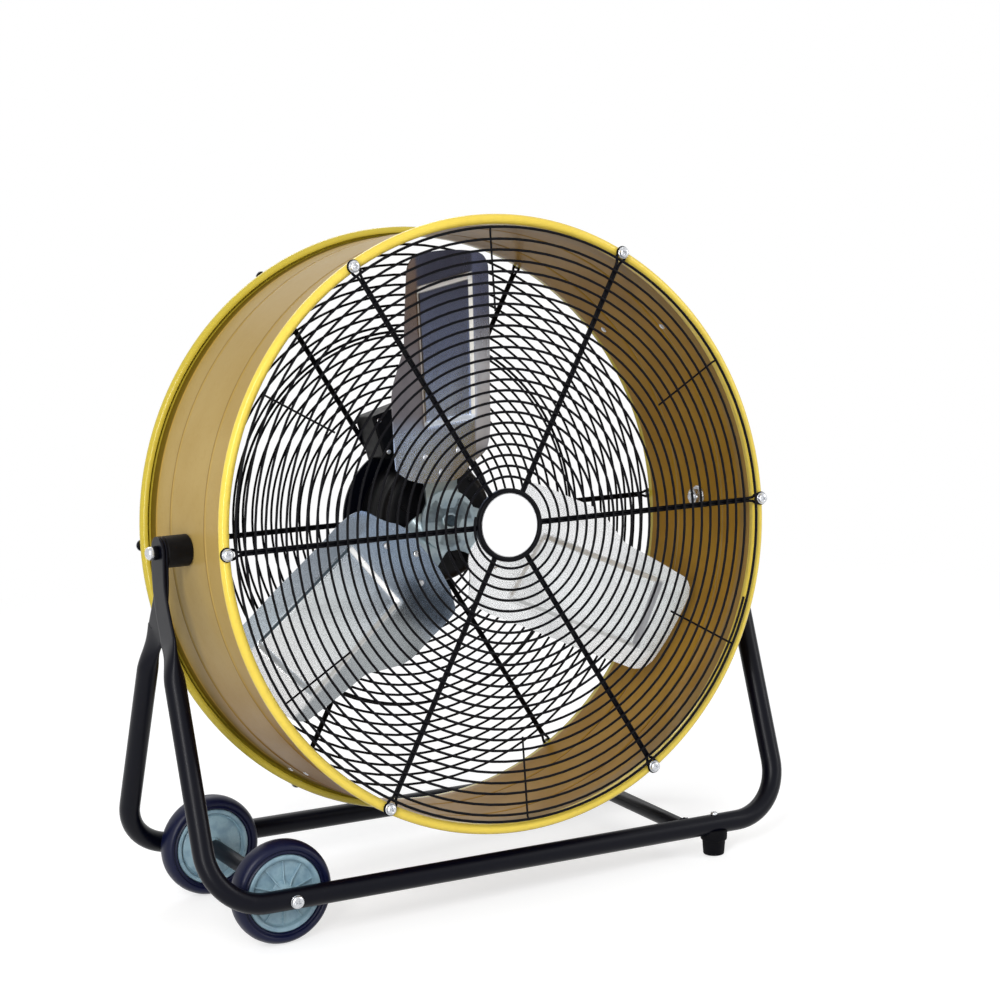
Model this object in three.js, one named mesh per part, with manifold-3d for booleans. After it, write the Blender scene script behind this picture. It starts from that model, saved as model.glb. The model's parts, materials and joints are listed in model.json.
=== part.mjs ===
// A 24-inch floor drum fan: a yellow rolled-steel drum that tilts in a black tube stand.
// Millimetres, +Z up. Seen from the front, X runs to the right and the air leaves towards -Y.
// The stand is drawn about a point midway between its bottom tubes, at their centre height,
// then the whole fan leans until the two wheels and the two shorter feet share the floor, z = 0.
import * as THREE from 'three';
import { mergeVertices } from 'three/addons/utils/BufferGeometryUtils.js';
import Module from 'manifold-3d';

const wasm = await Module();
wasm.setup();

// ---- Clearances ------------------------------------------------------------------------
const SEAT_GAP = 0.3; // between faces that touch on the real fan
const BLADE_SEAT = 0.6; // the same between the blade's and the arm's twisted faces
const RUN_GAP = 0.4; // radial clearance of turning parts and of bolts in their holes
const TAU = 2 * Math.PI;

// ---- Drum ------------------------------------------------------------------------------
const DRUM_RADIUS = 313; // outside of the rolled wall
const DRUM_WALL = 1.4;
const BEAD_RADIUS = 5.5; // outside radius of the curled rims
const BEAD_OVERHANG = 5.5; // how far outside the wall the curled rims' centre lies
const BEAD_CENTRE_RADIUS = DRUM_RADIUS + BEAD_OVERHANG;
const BEAD_SPACING = 210.7; // between the two curled rims, centre to centre
const RIB_OFFSET = 45; // rolled ribs, in front of and behind the middle
const RIB_HEIGHT = 1.2;
const RIB_WIDTH = 7;
const FLARE_OFFSET = 84; // where the wall starts to open towards each rim
const DRUM_TILT = -7 * Math.PI / 180; // the drum faces 7 degrees up
const DRUM_SEGMENTS = 32;
const BEAD_SEGMENTS = 6;
const BEAD_TURN = 285 * Math.PI / 180; // how far the sheet is curled round

// ---- Stand -----------------------------------------------------------------------------
const TUBE_DIAMETER = 22.2;
const TUBE_WALL = 1.5;
const UPRIGHT_CLEARANCE = 33; // from the drum's wall to the uprights' centres
const TUBE_X = DRUM_RADIUS + UPRIGHT_CLEARANCE;
const BASE_HALF = 120.3; // bottom tubes in front of and behind the middle
const DRUM_CLEARANCE = 22; // from the bottom tubes' centres up to the drum's rims
const PIVOT_HEIGHT = BEAD_CENTRE_RADIUS + BEAD_RADIUS + DRUM_CLEARANCE; // above the same centres
const CONVERGE_HEIGHT = PIVOT_HEIGHT - 32.7; // where the leaning uprights would meet
const BEND_RADIUS = 60;
const PRESS_START = PIVOT_HEIGHT - 126; // where the tube begins to be pressed flat
const PRESS_END = PIVOT_HEIGHT - 86;
const PLATE_THICKNESS = 3;
const PLATE_WIDTH = 33;
const KINK_HEIGHT = PIVOT_HEIGHT - 91; // where the uprights begin to turn vertical
const UPRIGHT_HEIGHT = PIVOT_HEIGHT - 24; // above it they are vertical
const CROSS_TUBE_X = TUBE_X - 126;
const CROSS_TUBE_DIAMETER = 17;

// ---- Pivots ----------------------------------------------------------------------------
const BOLT_DIAMETER = 10;
const BUSH_DIAMETER = 33;
const BUSH_END_GAP = 0.5; // the bush's flat end meets the curved wall
const COLLAR_DIAMETER = 14.5;
const COLLAR_LENGTH = 5.5;
const DOME_DIAMETER = 13.5;
const DOME_HEIGHT = 6.5;
const PIVOT_NUT_HEIGHT = 7;
const PIVOT_NUT_FLATS = 17;
const PIVOT_WASHER_DIAMETER = 24;
const PIVOT_WASHER_THICKNESS = 2;

// ---- Wheels, axle and feet -------------------------------------------------------------
const WHEEL_X = -(TUBE_X - 87.5);
const WHEEL_Y = BASE_HALF - 28.3;
const WHEEL_RADIUS = 54.75;
const WHEEL_WIDTH = 26;
const HUB_RADIUS = 41;
const HUB_BOSS_RADIUS = 11;
const HUB_RIBS = 8;
const WHEEL_SEGMENTS = 20;
const AXLE_DIAMETER = 10;
const AXLE_HEAD_DIAMETER = 14;
const AXLE_NUT_FLATS = 16;
const AXLE_NUT_HEIGHT = 7;
const SLEEVE_DIAMETER = 17.5;
const FOOT_X = TUBE_X - 90.7;
const FOOT_HEIGHT = 33.75; // from the bottom tube's centre to the floor
const FOOT_TOP_DIAMETER = 29.5;
const FOOT_BASE_DIAMETER = 23.5;
const FOOT_SCREW_DIAMETER = 5;
const FOOT_SCREW_HEAD = 8;

// ---- Guards ----------------------------------------------------------------------------
const WIRE_RADIUS = 1.5;
const ROD_RADIUS = 1.5;
const GUARD_PITCH = 11.2; // spacing of the spiral's turns
const FRONT_SPIRAL_START = 41.8;
const FRONT_SPIRAL_ANGLE = 163 * Math.PI / 180;
const REAR_SPIRAL_START = 72;
const STEPS_PER_TURN = 16;
const GUARD_SPOKES = 6;
const RIM_WIRE_THICKNESS = 3.2;
const RIM_WIRE_SEGMENTS = 36;
const STAY_RADIUS = 1.1;
const STAY_LENGTH = 87; // inwards from the rim wire
const HAIRPIN_HALF_GAP = 1.9; // half the distance between a hairpin's two rods
const LOOP_RADIUS = 5.2; // hairpin's end loop, round the rim screw
const LOOP_FLARE = 14; // length over which the rods open into the loop
const BEZEL_RADIUS = 38.5;
const BEZEL_DEPTH = 7;
const BEZEL_RIM = 4.6;
const BEZEL_BACK = 1.6;
const BADGE_THICKNESS = 3;
const REAR_RING_RADIUS = 76;
const SUPPORT_RING_RADIUS = 208;

// ---- Rim screws ------------------------------------------------------------------------
const RIM_SCREW_DIAMETER = 5;
const RIM_SCREW_HEAD = 11;
const RIM_SCREW_HEAD_HEIGHT = 3.6;
const RIM_SCREW_WASHER = 14;
const RIM_SCREW_WASHER_THICKNESS = 1.2;
const RIM_SCREW_LENGTH = 10;

// ---- Fan -------------------------------------------------------------------------------
const BLADES = 3;
const BLADE_THICKNESS = 2;
const TIP_CLEARANCE = 22; // from the blades' tips to the drum's outside
const BLADE_TIP_RADIUS = DRUM_RADIUS - TIP_CLEARANCE;
const BLADE_ROOT = 42.5;
const BLADE_MID = 180; // distance from the axis at which the blade's angles are given
const BLADE_RAKE = -0.172; // the blade leans forward towards its tip
const BLADE_PITCH = -0.317;
const BLADE_TWIST = 0.00058;
const BLADE_CUP = -0.000295;
const PANEL_INNER = 105;
const PANEL_OUTER = BLADE_TIP_RADIUS - 29;
const PANEL_RAISE = 4;
const PANEL_SLOPE = 7;
const SPIDER_THICKNESS = 3;
const SPIDER_ROWS = [0, 14, 24, 33, 41, 58, 75, 92]; // distances along an arm
const SPIDER_ARM_WIDTH = 56;
const SPIDER_ARM_SHIFT = 5.9; // the arm lies to one side of the blade's middle
const HUB_PLANE = 21; // the spider's middle, behind the drum's middle
const SPIDER_BOSS_RADIUS = 15;
const SPIDER_COLLAR_RADIUS = 9;
const SPIDER_BOSS_REAR = 34;
const SPIDER_COLLAR_FRONT = 15;

// ---- Motor -----------------------------------------------------------------------------
const SHAFT_DIAMETER = 12.7;
const SHAFT_FRONT = 12.5;
const MOTOR_RADIUS = 67;
const MOTOR_WALL = 2.2;
const MOTOR_FRONT = 40; // front face, behind the drum's middle
const MOTOR_SEGMENTS = 16;
const END_BELL_DEPTH = 10;
const END_BELL_STEP = 5;
const SPIGOT_LENGTH = 3;
const BEARING_RADIUS = 16;
const BEARING_WIDTH = 7;
const CORE_LENGTH = 38;
const ROTOR_CORE_RADIUS = 38;
const PLATE_RADIUS = 84;
const MOUNT_PLATE_THICKNESS = 3;

// ---- Control box -----------------------------------------------------------------------
const BOX_ANGLE = 105 * Math.PI / 180;
const BOX_DISTANCE = 104; // centre of the box from the drum's axis
const BOX_LENGTH = 50; // along the radius
const BOX_WIDTH = 56;
const BOX_DEPTH = 38;
const BOX_WALL = 2.5;
const KNOB_DIAMETER = 30;
const KNOB_HEIGHT = 14;
const KNOB_STEM_DIAMETER = 4;
const SWITCH_SIZE = 26;
const SWITCH_DEPTH = 18;
const GLAND_DIAMETER = 18;
const GLAND_LENGTH = 12;
const GLAND_BORE = 8;
const CAPACITOR_DIAMETER = 18;
const CAPACITOR_LENGTH = 34;

// ---- Values that follow from those above ------------------------------------------------
const TUBE_RADIUS = TUBE_DIAMETER / 2;
const BEAD_FACE = BEAD_SPACING / 2 + BEAD_RADIUS; // from the drum's middle to a rim's outer face
const SPOKE_Y = BEAD_FACE + SEAT_GAP + ROD_RADIUS;
const WIRE_Y = SPOKE_Y + ROD_RADIUS + WIRE_RADIUS + 2 * SEAT_GAP;
const RIM_WIRE_Y = SPOKE_Y + ROD_RADIUS + SEAT_GAP + RIM_WIRE_THICKNESS / 2;
const GUARD_EDGE = BEAD_CENTRE_RADIUS - RIM_SCREW_WASHER / 2 - RUN_GAP; // inside the screws' washers
const RIM_WIRE_RADIUS = GUARD_EDGE - RIM_WIRE_THICKNESS / 2; // radius of the ring it forms
const STAY_INNER = RIM_WIRE_RADIUS - STAY_LENGTH;
const REAR_SPIRAL_END = GUARD_EDGE - WIRE_RADIUS - 1.1;
const RIM_WIRE_INSIDE = (RIM_WIRE_RADIUS - RIM_WIRE_THICKNESS / 2) * Math.cos(Math.PI / RIM_WIRE_SEGMENTS);
const FRONT_SPIRAL_END = RIM_WIRE_INSIDE - SEAT_GAP - WIRE_RADIUS;
const UPRIGHT_LEAN = Math.atan2(BASE_HALF, CONVERGE_HEIGHT);
const INNER_PLATE_X = TUBE_X - 3.7; // the rear frame's pressed end, next to the bush
const OUTER_PLATE_X = INNER_PLATE_X + PLATE_THICKNESS + SEAT_GAP;
const OUTER_FACE_X = OUTER_PLATE_X + PLATE_THICKNESS / 2;
const INNER_FACE_X = INNER_PLATE_X - PLATE_THICKNESS / 2;
const MOUNT_PLATE_Y = BEAD_FACE - MOUNT_PLATE_THICKNESS / 2;
const MOTOR_REAR = MOUNT_PLATE_Y - MOUNT_PLATE_THICKNESS / 2 - SEAT_GAP;

// ---- Materials -------------------------------------------------------------------------
const paint = (color, roughness, metalness) =>
  new THREE.MeshStandardMaterial({ color, roughness, metalness });
const yellowPaint = paint(0xe0c04a, 0.3, 0.1);
const blackPaint = paint(0x0c0c12, 0.25, 0.1);
const blackWire = paint(0x0a0a0d, 0.4, 0.2);
const zinc = paint(0xc4c6c8, 0.3, 0.9);
const aluminium = paint(0x9fa6ac, 0.35, 0.85);
const steel = paint(0x8f9499, 0.4, 0.9);
const blackPlastic = paint(0x101012, 0.55, 0);
const rubber = paint(0x0b0b0e, 0.7, 0);
const tyreRubber = paint(0x12142a, 0.5, 0);
const hubPlastic = paint(0x839ca8, 0.45, 0);
const whitePlastic = paint(0xf6f6f6, 0.35, 0);
const castMetal = paint(0x15151a, 0.5, 0.3);
const copper = paint(0x8a4a2a, 0.4, 0.8);

// ---- Solids: booleans and placing --------------------------------------------------------
function solidOf(geometry) {
  const bare = geometry.index ? geometry.toNonIndexed() : geometry.clone();
  bare.deleteAttribute('normal');
  bare.deleteAttribute('uv');
  const merged = mergeVertices(bare, 1e-4);
  return new wasm.Manifold(new wasm.Mesh({
    numProp: 3,
    vertProperties: new Float32Array(merged.attributes.position.array),
    triVerts: new Uint32Array(merged.index.array),
  }));
}

function geometryOf(solid) {
  const mesh = solid.getMesh();
  const geometry = new THREE.BufferGeometry();
  geometry.setAttribute('position', new THREE.BufferAttribute(mesh.vertProperties, 3));
  geometry.setIndex(new THREE.BufferAttribute(mesh.triVerts, 1));
  return geometry;
}

function union(...geometries) {
  return geometryOf(geometries.map(solidOf).reduce((whole, next) => whole.add(next)));
}

function cut(geometry, ...tools) {
  return geometryOf(tools.map(solidOf).reduce((whole, tool) => whole.subtract(tool), solidOf(geometry)));
}

function named(name, geometry, material) {
  const flat = geometry.index ? geometry.toNonIndexed() : geometry;
  flat.computeVertexNormals();
  const mesh = new THREE.Mesh(flat, material);
  mesh.name = name;
  return mesh;
}

// A turned piece about the Y axis from [radius, y] pairs that close on themselves.
function turned(profile, segments) {
  const points = profile.map(([radius, y]) => new THREE.Vector2(radius, y));
  return new THREE.LatheGeometry([...points, points[0].clone()], segments);
}

// A solid round pin along Y from y0 to y1.
function pinY(radius, y0, y1, segments = 16) {
  return new THREE.CylinderGeometry(radius, radius, y1 - y0, segments).translate(0, (y0 + y1) / 2, 0);
}

// The same pin laid along X, from x0 to x1.
function pinX(radius, x0, x1, segments = 16) {
  return pinY(radius, x0, x1, segments).rotateZ(-Math.PI / 2);
}

// The same pin stood along Z, from z0 to z1.
function pinZ(radius, z0, z1, segments = 16) {
  return pinY(radius, z0, z1, segments).rotateX(Math.PI / 2);
}

// A washer, bush or sleeve along Y.
function ringY(outer, inner, y0, y1, segments = 20) {
  return turned([[inner, y0], [outer, y0], [outer, y1], [inner, y1]], segments);
}

// A hexagon nut along Y, from its width across flats and the bolt it sits on.
function nutY(flats, boltDiameter, y0, y1) {
  const hexagon = pinY(flats / 2 / Math.cos(Math.PI / 6), y0, y1, 6);
  return cut(hexagon, pinY(boltDiameter / 2 + SEAT_GAP, y0 - 1, y1 + 1, 12));
}

// ---- Rods bent through a list of points ----------------------------------------------------
class BentPath extends THREE.Curve {
  constructor(points) {
    super();
    this.points = points;
  }

  getPoint(t) {
    const place = t * (this.points.length - 1);
    const index = Math.min(Math.floor(place + 1e-9), this.points.length - 2);
    return this.points[index].clone().lerp(this.points[index + 1], place - index);
  }

  getPointAt(t) {
    return this.getPoint(t);
  }

  getTangentAt(t) {
    const here = Math.round(t * (this.points.length - 1));
    const before = this.points[Math.max(here - 1, 0)];
    const after = this.points[Math.min(here + 1, this.points.length - 1)];
    const point = this.points[here];
    const into = point.clone().sub(before).normalize();
    const out = after.clone().sub(point).normalize();
    return into.add(out).normalize();
  }
}

function circleShape(radius, sides) {
  const corners = [];
  for (let side = 0; side < sides; side += 1) {
    const angle = (side + 0.5) / sides * TAU;
    corners.push(new THREE.Vector2(radius * Math.cos(angle), radius * Math.sin(angle)));
  }
  return new THREE.Shape(corners);
}

function rod(points, radius, sides) {
  return new THREE.ExtrudeGeometry(circleShape(radius, sides), {
    steps: points.length - 1,
    extrudePath: new BentPath(points),
    bevelEnabled: false,
    curveSegments: 1,
  });
}

// A point of the guards: distance and angle about the drum's axis, at depth y.
function polar(distance, angle, y, aside = 0) {
  return new THREE.Vector3(
    distance * Math.cos(angle) - aside * Math.sin(angle),
    y,
    distance * Math.sin(angle) + aside * Math.cos(angle),
  );
}

// ---- Drum shell ----------------------------------------------------------------------------
// The sheet's centre line is followed by two skins half a wall apart, from one curl to the other.
function drumSheet() {
  const half = BEAD_SPACING / 2;
  const middle = DRUM_RADIUS - DRUM_WALL / 2;
  const curl = BEAD_RADIUS - DRUM_WALL / 2;
  const line = [];
  // The curl starts behind the rim, turns outwards over its face and comes back to the wall.
  for (let step = 0; step <= BEAD_SEGMENTS; step += 1) {
    const angle = BEAD_TURN * (1 - step / BEAD_SEGMENTS);
    line.push([BEAD_CENTRE_RADIUS - curl * Math.cos(angle), -half - curl * Math.sin(angle)]);
  }
  line.push([middle, -FLARE_OFFSET]);
  line.push([middle, -RIB_OFFSET - RIB_WIDTH / 2]);
  line.push([middle + RIB_HEIGHT, -RIB_OFFSET]);
  line.push([middle, -RIB_OFFSET + RIB_WIDTH / 2]);
  const rearHalf = line.map(([radius, y]) => [radius, -y]).reverse();
  return [...line, ...rearHalf];
}

function drumShell() {
  const line = drumSheet();
  const outside = [];
  const inside = [];
  line.forEach(([radius, y], index) => {
    const [radiusBefore, yBefore] = line[Math.max(index - 1, 0)];
    const [radiusAfter, yAfter] = line[Math.min(index + 1, line.length - 1)];
    const along = new THREE.Vector2(radiusAfter - radiusBefore, yAfter - yBefore).normalize();
    const push = DRUM_WALL / 2;
    outside.push([radius + along.y * push, y - along.x * push]);
    inside.push([radius - along.y * push, y + along.x * push]);
  });
  const shell = turned([...outside, ...inside.reverse()], DRUM_SEGMENTS);
  const holeRadius = BOLT_DIAMETER / 2 + RUN_GAP;
  const holes = [
    pinX(holeRadius, -DRUM_RADIUS - 10, -DRUM_RADIUS + 20, 12),
    pinX(holeRadius, DRUM_RADIUS - 20, DRUM_RADIUS + 10, 12),
  ];
  for (let spoke = 0; spoke < GUARD_SPOKES; spoke += 1) {
    const centre = polar(BEAD_CENTRE_RADIUS, spoke / GUARD_SPOKES * TAU, 0);
    const drill = RIM_SCREW_DIAMETER / 2 + RUN_GAP;
    holes.push(pinY(drill, -BEAD_FACE - 5, -BEAD_FACE + BEAD_RADIUS, 6).translate(centre.x, 0, centre.z));
    holes.push(pinY(drill, BEAD_FACE - BEAD_RADIUS, BEAD_FACE + 5, 6).translate(centre.x, 0, centre.z));
  }
  return cut(shell, ...holes);
}

// ---- Guards --------------------------------------------------------------------------------
// One long wire wound outwards. Its points lie closer together, by angle, where it is wide.
function spiralWire(startRadius, endRadius, startAngle, turnSign, y) {
  const points = [];
  const steps = Math.round((endRadius - startRadius) / GUARD_PITCH * STEPS_PER_TURN);
  const first = startRadius ** 1.25;
  const last = endRadius ** 1.25;
  for (let step = 0; step <= steps; step += 1) {
    const radius = (first + (last - first) * step / steps) ** 0.8;
    const angle = startAngle + turnSign * (radius - startRadius) / GUARD_PITCH * TAU;
    points.push(polar(radius, angle, y));
  }
  return rod(points, WIRE_RADIUS, 3);
}

function frontSpiral() {
  return spiralWire(FRONT_SPIRAL_START, FRONT_SPIRAL_END, FRONT_SPIRAL_ANGLE, 1, -WIRE_Y);
}

function rearSpiral() {
  return spiralWire(REAR_SPIRAL_START, REAR_SPIRAL_END, 0, -1, WIRE_Y);
}

// A spoke bent from one rod: out, round the rim screw, and back beside itself.
function hairpin(innerRadius, angle, y) {
  const flare = BEAD_CENTRE_RADIUS - LOOP_FLARE;
  const points = [polar(innerRadius, angle, y, HAIRPIN_HALF_GAP), polar(flare, angle, y, HAIRPIN_HALF_GAP)];
  for (let step = 0; step <= 6; step += 1) {
    const turn = (130 - 260 * step / 6) * Math.PI / 180;
    const along = BEAD_CENTRE_RADIUS + LOOP_RADIUS * Math.cos(turn);
    points.push(polar(along, angle, y, LOOP_RADIUS * Math.sin(turn)));
  }
  points.push(polar(flare, angle, y, -HAIRPIN_HALF_GAP), polar(innerRadius, angle, y, -HAIRPIN_HALF_GAP));
  return rod(points, ROD_RADIUS, 4);
}

function wireRing(radius, thickness, y, segments) {
  const profile = [];
  for (let side = 0; side < 4; side += 1) {
    const angle = side / 4 * TAU;
    profile.push([radius + thickness / 2 * Math.cos(angle), y + thickness / 2 * Math.sin(angle)]);
  }
  return turned(profile, segments);
}

function frontGuardSpokes() {
  const face = -WIRE_Y - WIRE_RADIUS;
  const bezel = turned([
    [0, face + BEZEL_DEPTH],
    [0, face + BEZEL_DEPTH - BEZEL_BACK],
    [BEZEL_RADIUS - BEZEL_RIM, face + BEZEL_DEPTH - BEZEL_BACK],
    [BEZEL_RADIUS - BEZEL_RIM, face],
    [BEZEL_RADIUS, face],
    [BEZEL_RADIUS, face + BEZEL_DEPTH],
  ], 28);
  const hairpins = [];
  for (let spoke = 0; spoke < GUARD_SPOKES; spoke += 1) {
    hairpins.push(hairpin(BEZEL_RADIUS - 2, spoke / GUARD_SPOKES * TAU, -SPOKE_Y));
  }
  return union(bezel, ...hairpins);
}

function frontGuardRimWire() {
  const stays = [];
  const stayY = -SPOKE_Y - ROD_RADIUS - SEAT_GAP + STAY_RADIUS;
  for (let stay = 0; stay < GUARD_SPOKES; stay += 1) {
    const angle = (stay + 0.5) / GUARD_SPOKES * TAU;
    const bent = RIM_WIRE_RADIUS - RIM_WIRE_THICKNESS / 2 - 1;
    stays.push(rod([polar(STAY_INNER, angle, stayY), polar(bent, angle, stayY),
      polar(RIM_WIRE_RADIUS, angle, -RIM_WIRE_Y)], STAY_RADIUS, 4));
  }
  return union(wireRing(RIM_WIRE_RADIUS, RIM_WIRE_THICKNESS, -RIM_WIRE_Y, RIM_WIRE_SEGMENTS), ...stays);
}

function frontBadge() {
  const radius = BEZEL_RADIUS - BEZEL_RIM - SEAT_GAP;
  const back = -WIRE_Y - WIRE_RADIUS + BEZEL_DEPTH - BEZEL_BACK - SEAT_GAP;
  return pinY(radius, back - BADGE_THICKNESS, back, 28);
}

function rearGuardFrame() {
  const parts = [wireRing(REAR_RING_RADIUS, 2 * ROD_RADIUS, SPOKE_Y, 18)];
  parts.push(wireRing(SUPPORT_RING_RADIUS, 2 * ROD_RADIUS, SPOKE_Y, 30));
  for (let spoke = 0; spoke < GUARD_SPOKES; spoke += 1) {
    parts.push(hairpin(REAR_RING_RADIUS, spoke / GUARD_SPOKES * TAU, SPOKE_Y));
  }
  return union(...parts);
}

function rimScrew(spoke, side) {
  const under = SPOKE_Y + ROD_RADIUS + SEAT_GAP;
  const washerTop = under + RIM_SCREW_WASHER_THICKNESS;
  const headTop = washerTop + RIM_SCREW_HEAD_HEIGHT;
  const screw = turned([
    [0, under - RIM_SCREW_LENGTH],
    [RIM_SCREW_DIAMETER / 2, under - RIM_SCREW_LENGTH],
    [RIM_SCREW_DIAMETER / 2, under],
    [RIM_SCREW_WASHER / 2, under],
    [RIM_SCREW_WASHER / 2, washerTop],
    [RIM_SCREW_HEAD / 2, washerTop],
    [RIM_SCREW_HEAD / 2 - 1, headTop],
    [0, headTop],
  ], 7);
  if (side < 0) screw.rotateX(Math.PI);
  const place = polar(BEAD_CENTRE_RADIUS, spoke / GUARD_SPOKES * TAU, 0);
  return screw.translate(place.x, 0, place.z);
}

// ---- Fan blades and spider -------------------------------------------------------------------
// Depth of the blade's middle surface, r out along the blade and u across it.
function bladeDepth(r, u) {
  const out = r - BLADE_MID;
  return BLADE_RAKE * out + BLADE_PITCH * u + BLADE_TWIST * u * out + BLADE_CUP * u * u;
}

function between(value, table) {
  const last = table.length - 1;
  const index = Math.max(1, Math.min(last, table.findIndex(([key]) => key >= value)));
  const upper = table.findIndex(([key]) => key >= value) < 0 ? last : index;
  const [x0, y0] = table[upper - 1];
  const [x1, y1] = table[upper];
  return y0 + (y1 - y0) * THREE.MathUtils.clamp((value - x0) / (x1 - x0), 0, 1);
}

// Distance out along the blade, then the edge's place across it.
const LEADING_EDGE = [[BLADE_ROOT, -22], [58, -40], [70, -64], [82, -67], [160, -63],
  [BLADE_TIP_RADIUS - 14, -56], [BLADE_TIP_RADIUS - 1, -42]];
const TRAILING_EDGE = [[BLADE_ROOT, 22], [52, 60], [60, 74], [86, 79], [135, 80], [178, 65], [190, 61],
  [BLADE_TIP_RADIUS - 12, 57], [BLADE_TIP_RADIUS - 1, 42]];
const BLADE_ROWS = [BLADE_ROOT, 52, 60, 72, 86, PANEL_INNER, PANEL_INNER + PANEL_SLOPE, 135, 160, 178, 190,
  PANEL_OUTER - PANEL_SLOPE, PANEL_OUTER, BLADE_TIP_RADIUS - 14, BLADE_TIP_RADIUS - 1];

function panelEdges(r) {
  const out = r - PANEL_INNER;
  return [-44 + 0.038 * out, 24 + 0.1 * out];
}

function bladeGeometry() {
  const columns = 6;
  const rows = BLADE_ROWS.length - 1;
  const sheet = new THREE.BoxGeometry(columns, 1, rows, columns, 1, rows);
  const place = sheet.attributes.position;
  for (let index = 0; index < place.count; index += 1) {
    const column = Math.round(place.getX(index) + columns / 2);
    const row = Math.round(place.getZ(index) + rows / 2);
    const skin = Math.sign(place.getY(index));
    let r = BLADE_ROWS[row];
    const [panelLow, panelHigh] = panelEdges(r);
    const low = between(r, LEADING_EDGE);
    const high = between(r, TRAILING_EDGE);
    const slopeLow = Math.max(panelLow + PANEL_SLOPE, low);
    const across = [low, Math.max(panelLow, low + 1), slopeLow + 2, (low + high) / 2,
      Math.min(panelHigh - PANEL_SLOPE, high - 2), Math.min(panelHigh, high - 1), high];
    const inPanel = column >= 2 && column <= 4 && row > 5 && row < 12;
    const u = across[column];
    if (row === rows) r = Math.sqrt(BLADE_TIP_RADIUS ** 2 - u * u);
    const raise = inPanel ? PANEL_RAISE : 0;
    place.setXYZ(index, u, bladeDepth(r, u) - raise + skin * BLADE_THICKNESS / 2, r);
  }
  return sheet;
}

// Turned from pointing up to its own angle about the drum's axis. u grows anticlockwise from the front.
function placeBlade(geometry, blade) {
  return geometry.scale(-1, 1, 1).rotateY(-blade / BLADES * TAU);
}

function flipWinding(geometry) {
  const loose = geometry.toNonIndexed();
  const place = loose.attributes.position;
  for (let corner = 0; corner < place.count; corner += 3) {
    const [x, y, z] = [place.getX(corner), place.getY(corner), place.getZ(corner)];
    place.setXYZ(corner, place.getX(corner + 1), place.getY(corner + 1), place.getZ(corner + 1));
    place.setXYZ(corner + 1, x, y, z);
  }
  return loose;
}

function spiderArm() {
  const rows = SPIDER_ROWS.length - 1;
  const columns = 3;
  const arm = new THREE.BoxGeometry(SPIDER_ARM_WIDTH, SPIDER_THICKNESS, rows, columns, 1, rows);
  const place = arm.attributes.position;
  for (let index = 0; index < place.count; index += 1) {
    const r = SPIDER_ROWS[Math.round(place.getZ(index) + rows / 2)];
    const waist = 1 - 0.12 * Math.sin(THREE.MathUtils.clamp(r / 60, 0, 1) * Math.PI);
    const u = place.getX(index) * waist + SPIDER_ARM_SHIFT * THREE.MathUtils.smoothstep(r, 10, 50);
    const onBlade = bladeDepth(r, u) + BLADE_THICKNESS / 2 + BLADE_SEAT + SPIDER_THICKNESS / 2;
    const depth = THREE.MathUtils.lerp(HUB_PLANE, onBlade, THREE.MathUtils.smoothstep(r, 14, 33));
    place.setXYZ(index, u, depth + place.getY(index), r);
  }
  return arm;
}

function spider() {
  const bore = SHAFT_DIAMETER / 2 + SEAT_GAP;
  const boss = turned([
    [0, SPIDER_COLLAR_FRONT],
    [SPIDER_COLLAR_RADIUS, SPIDER_COLLAR_FRONT],
    [SPIDER_COLLAR_RADIUS, HUB_PLANE - SPIDER_THICKNESS / 2],
    [31, HUB_PLANE - SPIDER_THICKNESS / 2],
    [31, HUB_PLANE + SPIDER_THICKNESS / 2],
    [SPIDER_BOSS_RADIUS, HUB_PLANE + SPIDER_THICKNESS / 2],
    [SPIDER_BOSS_RADIUS, SPIDER_BOSS_REAR],
    [0, SPIDER_BOSS_REAR],
  ], 24);
  const arms = [];
  for (let blade = 0; blade < BLADES; blade += 1) {
    arms.push(flipWinding(placeBlade(spiderArm(), blade)));
  }
  return cut(union(boss, ...arms), pinY(bore, 0, SPIDER_BOSS_REAR + 10, 16));
}

// ---- Motor -----------------------------------------------------------------------------------
const SHAFT_BORE = SHAFT_DIAMETER / 2 + RUN_GAP;
const BODY_FRONT = MOTOR_FRONT + END_BELL_DEPTH;
const BODY_REAR = MOTOR_REAR - END_BELL_DEPTH;
const CORE_MIDDLE = (MOTOR_FRONT + MOTOR_REAR) / 2;

function endBell(faceY, sign) {
  // sign points from the face into the motor.
  const at = (depth) => faceY + sign * depth;
  const seat = BEARING_RADIUS + SEAT_GAP;
  const spigot = MOTOR_RADIUS - MOTOR_WALL - SEAT_GAP;
  const bell = turned([
    [SHAFT_BORE, at(0)],
    [MOTOR_RADIUS - END_BELL_STEP * 2, at(0)],
    [MOTOR_RADIUS, at(END_BELL_STEP)],
    [MOTOR_RADIUS, at(END_BELL_DEPTH - SEAT_GAP)],
    [spigot, at(END_BELL_DEPTH - SEAT_GAP)],
    [spigot, at(END_BELL_DEPTH + SPIGOT_LENGTH)],
    [spigot - 3, at(END_BELL_DEPTH + SPIGOT_LENGTH)],
    [spigot - 3, at(END_BELL_STEP + 3)],
    [seat + 4, at(END_BELL_STEP)],
    [seat + 4, at(3 + BEARING_WIDTH)],
    [seat, at(3 + BEARING_WIDTH)],
    [seat, at(3)],
    [SHAFT_BORE, at(3)],
  ], MOTOR_SEGMENTS);
  return sign < 0 ? flipWinding(bell) : bell;
}

function bearing(faceY, sign) {
  const near = faceY + sign * (3 + SEAT_GAP);
  const far = faceY + sign * (3 + BEARING_WIDTH);
  return ringY(BEARING_RADIUS, SHAFT_BORE, Math.min(near, far), Math.max(near, far), MOTOR_SEGMENTS);
}

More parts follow.
